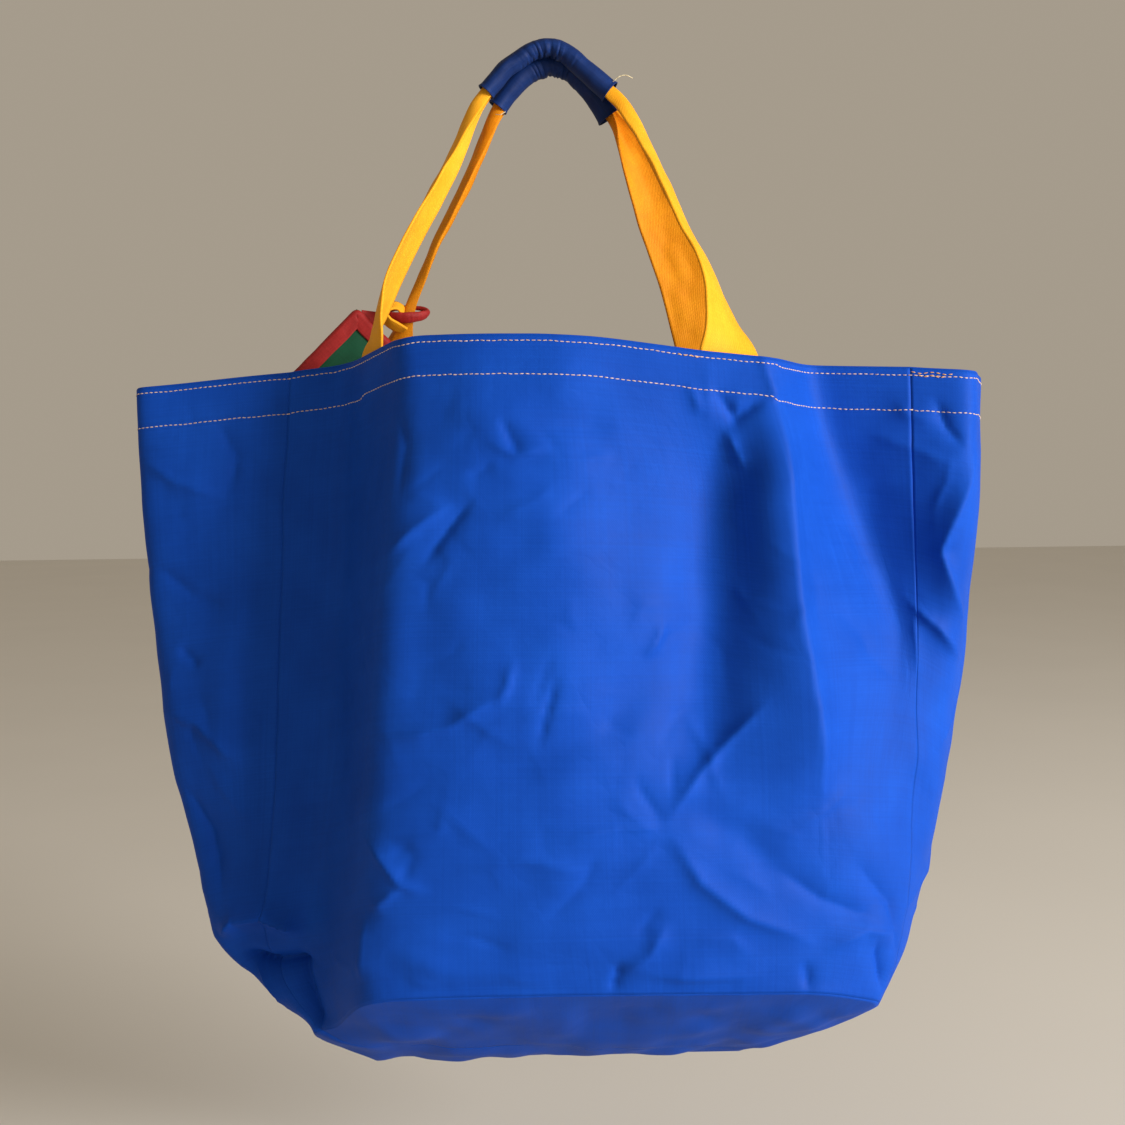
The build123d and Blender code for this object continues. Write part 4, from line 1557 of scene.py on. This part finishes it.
@dataclass
class Pouch:
    """Small flat pouch with a bound edge, its tape and the stuffed loop that carries it.

    Sizes are in millimetres, the slope of its long edge and the loop's tilt in degrees.
    """

    finishes: Finishes
    corner: tuple[float, float, float] = (-124.0, 5.0, -143.0)
    slope: float = 46.0
    long: float = 190.0
    short: float = 110.0
    sheet: float = 1.0
    binding: float = 9.0
    rounding: float = 3.0
    loop_centre: tuple[float, float, float] = (-92.8, 8.0, -145.2)
    loop_radii: tuple[float, float] = (13.0, 8.5)
    loop_cord: float = 1.7
    loop_reach: float = 14.0
    tilt: float = 27.0

    def place(self, far: np.ndarray, down: np.ndarray, out: np.ndarray) -> np.ndarray:
        """Points of the pouch.

        Args:
            far: millimetres from the corner along the long edge.
            down: millimetres from the corner along the short edge.
            out: millimetres out of the pouch's front.

        Returns:
            Points in millimetres in the row frame.
        """
        angle = math.radians(self.slope)
        down_long = np.array([math.cos(angle), 0.0, -math.sin(angle)])
        down_short = np.array([-math.sin(angle), 0.0, -math.cos(angle)])
        ahead = np.array([0.0, -1.0, 0.0])
        start = np.array(self.corner)
        return start + far[..., None] * down_long + down[..., None] * down_short + out[..., None] * ahead

    def sheets(self) -> list[bpy.types.Object]:
        """Builds the two cloth faces, a little quilted between their edges.

        Returns:
            The front and the back sheet.
        """
        made = []
        long = np.linspace(0.0, self.long, 96)
        short = np.linspace(0.0, self.short, 60)
        a, b = np.meshgrid(long, short)
        edge = np.minimum(np.minimum(a, self.long - a), np.minimum(b, self.short - b))
        for label, way in (("front", 1.0), ("back", -1.0)):
            puff = 0.35 + 0.9 * smooth_step(edge, 2.0, 26.0) + 0.35 * smooth_noise(a, b, 16.0, 31)
            points = self.place(a, b, way * puff)
            uv = np.stack([a, b], axis=-1) * MM
            order = slice(None) if way > 0 else slice(None, None, -1)
            piece = grid_mesh(f"pouch_{label}_cloth", points[:, ::-1][:, order] * MM, uv[:, ::-1][:, order])
            thicken(piece, self.sheet * MM * 0.6, 1.0)
            dress(piece, self.finishes.pouch, Slot.POUCH, f"pouch_{label}_sheet", body="pouch")
            made.append(piece)
        return made

    def bound_edge(self) -> bpy.types.Object:
        """Builds the tape folded over the pouch's edge all the way round, with its corners mitred.

        Returns:
            The binding.
        """
        rounding = self.rounding
        right, bottom = self.long - rounding, self.short - rounding
        corners = (
            (rounding, rounding, 180), (right, rounding, 270), (right, bottom, 0), (rounding, bottom, 90),
        )
        loop = [
            (x + rounding * math.cos(angle), y + rounding * math.sin(angle))
            for x, y, start in corners for angle in np.radians(np.linspace(start, start + 90, 7))
        ]
        loop = np.array(loop + loop[:1])
        reach = running(loop)
        even = np.linspace(0.0, reach[-1], 420, endpoint=False)
        ring = looked_up(even, reach, loop)
        way = unit(np.roll(ring, -1, axis=0) - np.roll(ring, 1, axis=0))
        inwards = np.stack([-way[:, 1], way[:, 0]], axis=1)
        half = ((self.binding, 1.9), (4.0, 2.2), (0.4, 2.0), (-0.7, 0.0))
        profile = through((*half, *((deep, -out) for deep, out in half[2::-1])), 25)
        far, near, out = np.broadcast_arrays(even[:, None], profile[None, :, 0], profile[None, :, 1])
        depth = near + 0.35 * smooth_noise(far, out * 3, 7.0, 8)
        rise = out + 0.25 * smooth_noise(far, depth, 5.0, 9)
        place = ring[:, None] + inwards[:, None] * depth[..., None]
        points = self.place(place[..., 0], place[..., 1], rise)
        uv = np.stack([near, far], axis=-1) * MM
        points, uv = points.transpose(1, 0, 2) * MM, uv.transpose(1, 0, 2)
        piece = grid_mesh("pouch_bound_edge", points, uv, wrap=True)
        thicken(piece, 0.5 * MM, 0.0)
        return dress(piece, self.finishes.tape, Slot.TAPE, "pouch_binding", body="pouch")

    def loop(self) -> bpy.types.Object:
        """Builds the stuffed loop round the webbing, puckered and pressed flat.

        Returns:
            The loop.
        """
        turn = np.linspace(0.0, 2.0 * math.pi, 160, endpoint=False)
        loop_run = turn[:, None] * self.loop_reach
        tilt = math.radians(self.tilt)
        flat = np.stack([self.loop_radii[0] * np.cos(turn), self.loop_radii[1] * np.sin(turn)], axis=1)
        away = np.stack([np.cos(turn), np.sin(turn) * math.cos(tilt), np.sin(turn) * math.sin(tilt)], axis=1)
        up = np.array([0.0, -math.sin(tilt), math.cos(tilt)])
        centre = np.stack([flat[:, 0], flat[:, 1] * math.cos(tilt), flat[:, 1] * math.sin(tilt)], axis=1)
        centre += np.array(self.loop_centre)
        around = np.linspace(0.0, 2.0 * math.pi, 28, endpoint=False)
        pucker = 0.22 * smooth_noise(loop_run, np.cos(around)[None, :] * 3.0, 1.6, 17)
        front_band = 2.2 * np.clip(-np.sin(turn), 0.0, 1.0)[:, None] ** 0.7
        across = (self.loop_cord + pucker * 0.5) * np.cos(around)[None, :]
        rise = (self.loop_cord * 0.8 + front_band + pucker) * np.sin(around)[None, :]
        points = centre[:, None] + away[:, None] * across[..., None] + up[None, None] * rise[..., None]
        uv = np.stack(np.broadcast_arrays(around[None, :] * self.loop_cord, loop_run), axis=-1) * MM
        closed = np.concatenate([points, points[:1]])
        closed_uv = np.concatenate([uv, uv[:1] + [0.0, 2.0 * math.pi * self.loop_reach * MM]])
        piece = grid_mesh("stuffed_loop", closed[::-1] * MM, closed_uv[::-1], wrap=True)
        weld = piece.modifiers.new("close_loop", "WELD")
        weld.merge_threshold = 0.05 * MM
        return dress(freeze(piece), self.finishes.tape, Slot.TAPE, "pouch_loop", body="bag")

    def tail(self) -> bpy.types.Object:
        """Builds the short tape from the loop to the pouch's corner.

        Returns:
            The tape.
        """
        stations = (
            Station((-106.0, 9.0, -149.0), (0.0, 0.1, 1.0), 60.0, 1.0),
            Station((-113.0, 10.0, -148.5), (0.1, 0.2, 1.0), 40.0, 1.0),
            Station((-122.0, 8.6, -147.5), (0.0, 0.0, 1.0), 10.0, 1.0),
        )
        sizes = {"width": 8.0, "thickness": 1.0, "columns": 9, "rows": 30, "ripple": 0.2, "seed": 4}
        piece = Strand("loop_tape", stations, **sizes).build()
        return dress(piece, self.finishes.tape, Slot.TAPE, "pouch_loop_tail", body="bag")

    def curl(self) -> bpy.types.Object:
        """Builds the slack turn of the back handle's webbing that the loop holds out to its left.

        Returns:
            The turn of webbing.
        """
        stations = (
            Station((-94.5, 4.0, -157.0), (0.6, -0.8, 0.3), 20.0),
            Station((-99.0, 0.5, -154.5), (0.4, -0.8, 0.6), 16.0),
            Station((-104.0, -2.0, -151.0), (0.5, -0.8, 0.4), 12.0),
            Station((-106.0, -2.5, -146.6), (0.6, -0.8, 0.0), 12.0),
            Station((-103.2, -1.0, -142.6), (0.4, -0.8, -0.5), 12.0),
            Station((-98.5, 1.5, -141.6), (0.1, -0.8, -0.6), 16.0),
            Station((-94.5, 5.0, -144.6), (-0.3, -0.8, -0.5), 20.0),
        )
        sizes = {"width": 8.0, "thickness": 1.4, "columns": 9, "rows": 60, "ripple": 0.2, "seed": 21}
        piece = Strand("webbing_curl", stations, **sizes).build()
        return dress(piece, self.finishes.webbing, Slot.WEBBING, body="bag")

    def build(self) -> list[bpy.types.Object]:
        """Builds the pouch, its edge, its loop, its tape and the turn of webbing in the loop.

        Returns:
            The pieces.
        """
        return [*self.sheets(), self.bound_edge(), self.loop(), self.tail(), self.curl()]


# ---------------------------------------------------------------------- stage


@dataclass(frozen=True)
class Stage:
    """Pale floor, soft light and the camera, in metres, watts and degrees."""

    floor_drop: float = 0.12
    floor_size: float = 14.0
    floor_colour: tuple[float, float, float] = (0.76, 0.73, 0.68)
    window_place: tuple[float, float, float] = (2.9, -2.02, 0.28)
    window_aim: tuple[float, float, float] = (0.0, -0.05, -0.32)
    window_size: float = 1.4
    window_power: float = 200.0
    window_colour: tuple[float, float, float] = (1.0, 0.98, 0.95)
    room_colour: tuple[float, float, float, float] = (0.86, 0.75, 0.60, 1.0)
    room_strength: float = 0.44
    lens: float = 49.2
    camera_place: tuple[float, float, float] = (0.0037, -0.975, -0.2365)
    pitch: float = -4.0
    roll: float = 0.76

    def build(self) -> None:
        """Sets the stage."""
        self.floor()
        self.window()
        self.room()
        self.camera()

    def floor(self) -> None:
        """Lays the floor below the bag."""
        axis = np.linspace(-self.floor_size / 2.0, self.floor_size / 2.0, 5)
        x, y = np.meshgrid(axis, axis)
        points = np.stack([x, y, np.full_like(x, CAD_BOX[0][2] - self.floor_drop)], axis=-1)
        floor = grid_mesh("studio_floor", points, points[..., :2])
        floor.data.materials.append(FloorFinish("pale_floor", self.floor_colour).material())

    def window(self) -> None:
        """Adds one soft square light that points at the bag's middle."""
        lamp = bpy.data.lights.new("window_light", "AREA")
        lamp.energy, lamp.size, lamp.color = self.window_power, self.window_size, self.window_colour
        holder = bpy.data.objects.new("window_light", lamp)
        holder.location = self.window_place
        aim = Vector(self.window_aim) - Vector(self.window_place)
        holder.rotation_euler = aim.to_track_quat("-Z", "Y").to_euler()
        bpy.context.scene.collection.objects.link(holder)

    def room(self) -> None:
        """Fills the room with warm light and sets how the picture's tones are shown."""
        world = bpy.data.worlds.new("pale_room")
        bpy.context.scene.world = world
        world.use_nodes = True
        background = world.node_tree.nodes["Background"]
        background.inputs["Color"].default_value = self.room_colour
        background.inputs["Strength"].default_value = self.room_strength
        bpy.context.scene.view_settings.view_transform = "Standard"

    def camera(self) -> None:
        """Adds the camera a little below the rim, tipped down and rolled by under a degree."""
        pitch, roll = math.radians(self.pitch), math.radians(self.roll)
        ahead = Vector((0.0, math.cos(pitch), math.sin(pitch)))
        right = Vector((1.0, 0.0, 0.0))
        up = right.cross(ahead)
        rolled = math.cos(roll) * right - math.sin(roll) * up
        upright = math.sin(roll) * right + math.cos(roll) * up
        turn = Matrix((rolled, upright, -ahead)).transposed()
        camera = bpy.data.cameras.new("camera")
        camera.lens = self.lens
        holder = bpy.data.objects.new("camera", camera)
        holder.matrix_world = Matrix.Translation(self.camera_place) @ turn.to_4x4()
        bpy.context.scene.collection.objects.link(holder)
        bpy.context.scene.camera = holder


# ---------------------------------------------------------------------- the whole bag


def front_handle(finishes: Finishes) -> Handle:
    """Lays out the front handle, sewn behind the front hem, whose grip lies in front of the other.

    Args:
        finishes: the bag's finishes.

    Returns:
        The handle, ready to build.
    """
    left = Strand("front_left_strand", (
        Station((-109.5, -45.5, -199.0), (0.486, -0.874, 0.0), 3.0),
        Station((-109.5, -45.5, -182.0), (0.486, -0.874, 0.0), 6.0),
        Station((-107.8, -46.0, -167.0), (0.36, -0.93, 0.0), 20.0, 0.98),
        Station((-104.6, -45.0, -152.0), (0.0, -1.0, 0.0), 54.0, 0.95),
        Station((-97.4, -42.5, -131.0), (-0.15, -0.98, 0.0), 30.0, 0.9),
        Station((-81.6, -36.0, -98.0), (-0.14, -0.98, 0.1), 34.0, 0.84),
        Station((-63.2, -26.0, -62.0), (-0.08, -1.0, 0.2), 76.0, 0.70),
        Station((-51.6, -15.0, -34.0), (-0.05, -1.0, 0.1), 130.0, 0.54),
        Station((-45.2, -9.5, -20.0), (0.2, -1.0, 0.1), 170.0, 0.42),
        Station((-38.8, -7.9, -11.2), (0.1, -1.0, 0.1), 230.0, 0.3),
        Station((-31.8, -7.7, -3.4), (0.0, -1.0, 0.1), 250.0, 0.22),
    ), seed=3)
    right = Strand("front_right_strand", (
        Station((101.0, -92.0, -204.0), (0.985, 0.12, 0.0), 3.0),
        Station((100.5, -91.0, -184.0), (0.97, 0.24, 0.0), 4.0),
        Station((100.5, -88.5, -174.0), (0.80, 0.60, 0.0), 6.0),
        Station((99.0, -85.0, -163.0), (0.55, 0.83, 0.0), 8.0, 0.98),
        Station((95.5, -77.0, -144.0), (0.33, 0.94, 0.0), 14.0, 0.94),
        Station((90.2, -68.0, -127.0), (0.20, 0.98, 0.0), 26.0, 0.9),
        Station((79.6, -54.0, -103.0), (0.16, 0.99, 0.0), 46.0, 0.85),
        Station((65.4, -34.0, -66.0), (0.12, 1.0, 0.0), 70.0, 0.74),
        Station((53.8, -18.0, -38.0), (0.2, 1.0, 0.0), 110.0, 0.6),
        Station((45.2, -10.0, -21.5), (0.3, 1.0, 0.0), 150.0, 0.48),
        Station((38.0, -8.1, -14.2), (0.2, 1.0, 0.0), 210.0, 0.36),
        Station((28.5, -7.8, -6.2), (0.0, 1.0, 0.1), 250.0, 0.22),
    ), seed=6)
    grip = Grip("front_grip", (
        (-39.8, -8.0, -12.6), (-34.4, -7.8, -6.4), (-28.2, -7.6, 0.2), (-19.0, -7.4, 7.2), (-9.3, -7.4, 12.4),
        (-0.5, -7.4, 14.0), (8.7, -7.4, 10.9), (19.6, -7.6, 1.4), (28.0, -7.8, -5.6), (37.0, -8.0, -13.4),
    ), (5.0, 4.9, 6.2), seed=5)
    return Handle(
        Side.FRONT, "front_handle", "front", left, right, grip,
        (0.0, -0.073, -0.178), (0.0, -0.066, -0.138),
        (((38.5, -13.0, -8.5), (42.5, -15.0, -5.8), (46.5, -15.5, -5.2), (50.5, -15.5, -7.0)),), finishes,
    )


def back_handle(finishes: Finishes) -> Handle:
    """Lays out the back handle, sewn behind the back hem, whose left end goes through the stuffed loop.

    Args:
        finishes: the bag's finishes.

    Returns:
        The handle, ready to build.
    """
    left = Strand("back_left_strand", (
        Station((-106.0, 14.6, -237.0), (1.0, 0.0, 0.0), 3.0),
        Station((-106.0, 14.6, -212.0), (1.0, 0.0, 0.0), 6.0),
        Station((-103.0, 14.4, -186.0), (1.0, -0.05, 0.0), 14.0, 0.9),
        Station((-97.5, 12.6, -162.0), (1.0, -0.2, 0.0), 60.0, 0.42),
        Station((-93.0, 8.0, -147.0), (0.7, -0.7, 0.0), 150.0, 0.24),
        Station((-87.6, 8.0, -134.0), (0.3, -0.9, 0.0), 130.0, 0.26),
        Station((-76.0, 9.0, -106.0), (0.1, -1.0, 0.0), 70.0, 0.5),
        Station((-54.0, 8.0, -64.0), (0.08, -1.0, 0.1), 80.0, 0.66),
        Station((-41.0, 6.8, -36.0), (0.2, -1.0, 0.1), 130.0, 0.54),
        Station((-35.5, 6.4, -24.0), (0.2, -1.0, 0.1), 180.0, 0.42),
        Station((-29.0, 6.4, -13.0), (0.0, -1.0, 0.1), 240.0, 0.28),
        Station((-23.0, 6.4, -5.0), (0.0, -1.0, 0.1), 250.0, 0.24),
    ), seed=8)
    right = Strand("back_right_strand", (
        Station((102.0, 14.6, -237.0), (1.0, 0.0, 0.0), 3.0),
        Station((102.0, 14.6, -212.0), (1.0, 0.0, 0.0), 4.0),
        Station((97.0, 14.0, -176.0), (1.0, 0.0, 0.1), 8.0, 0.99),
        Station((85.0, 13.0, -134.0), (1.0, 0.05, 0.35), -14.0, 0.84),
        Station((69.0, 11.5, -92.0), (1.0, 0.1, 0.45), -34.0, 0.74),
        Station((56.5, 9.0, -60.0), (1.0, 0.2, 0.55), -70.0, 0.66),
        Station((45.2, 7.0, -38.0), (0.8, 0.5, 0.4), -130.0, 0.56),
        Station((38.0, 6.4, -26.0), (0.5, 0.9, 0.2), -200.0, 0.38),
        Station((29.0, 6.4, -11.0), (0.1, 1.0, 0.1), -250.0, 0.24),
    ), seed=9)
    grip = Grip("back_grip", (
        (-33.2, 6.4, -19.0), (-26.5, 6.4, -10.0), (-16.0, 6.4, 1.0), (-4.0, 6.4, 6.4), (8.0, 6.4, 6.2),
        (19.0, 6.4, -1.0), (30.0, 6.4, -13.5), (38.0, 6.4, -25.2),
    ), (5.4, 6.6, 8.0), seed=12)
    return Handle(
        Side.BACK, "back_handle", "bag", left, right, grip,
        (0.0, 0.013, -0.158), (0.0, 0.013, -0.118),
        (((-34.0, 0.0, -24.5), (-31.0, -2.5, -25.0), (-28.0, -3.0, -23.4)),), finishes,
    )


def main() -> None:
    """Builds the bag and sets the stage."""
    logging.basicConfig(level=logging.INFO, format="%(message)s")
    finishes = Finishes()
    shape = HangingShape(folds=pressed_folds())
    shell = Shell(shape, finishes)
    pieces = shell.build()
    pieces += RimThreads(shell, finishes).build()
    pieces += front_handle(finishes).build()
    pieces += back_handle(finishes).build()
    pieces += Pouch(finishes).build()
    for piece in pieces:
        LOG.info("%s: %d faces", piece.name, len(piece.data.polygons))
    Stage().build()


if __name__ == "__main__":
    main()
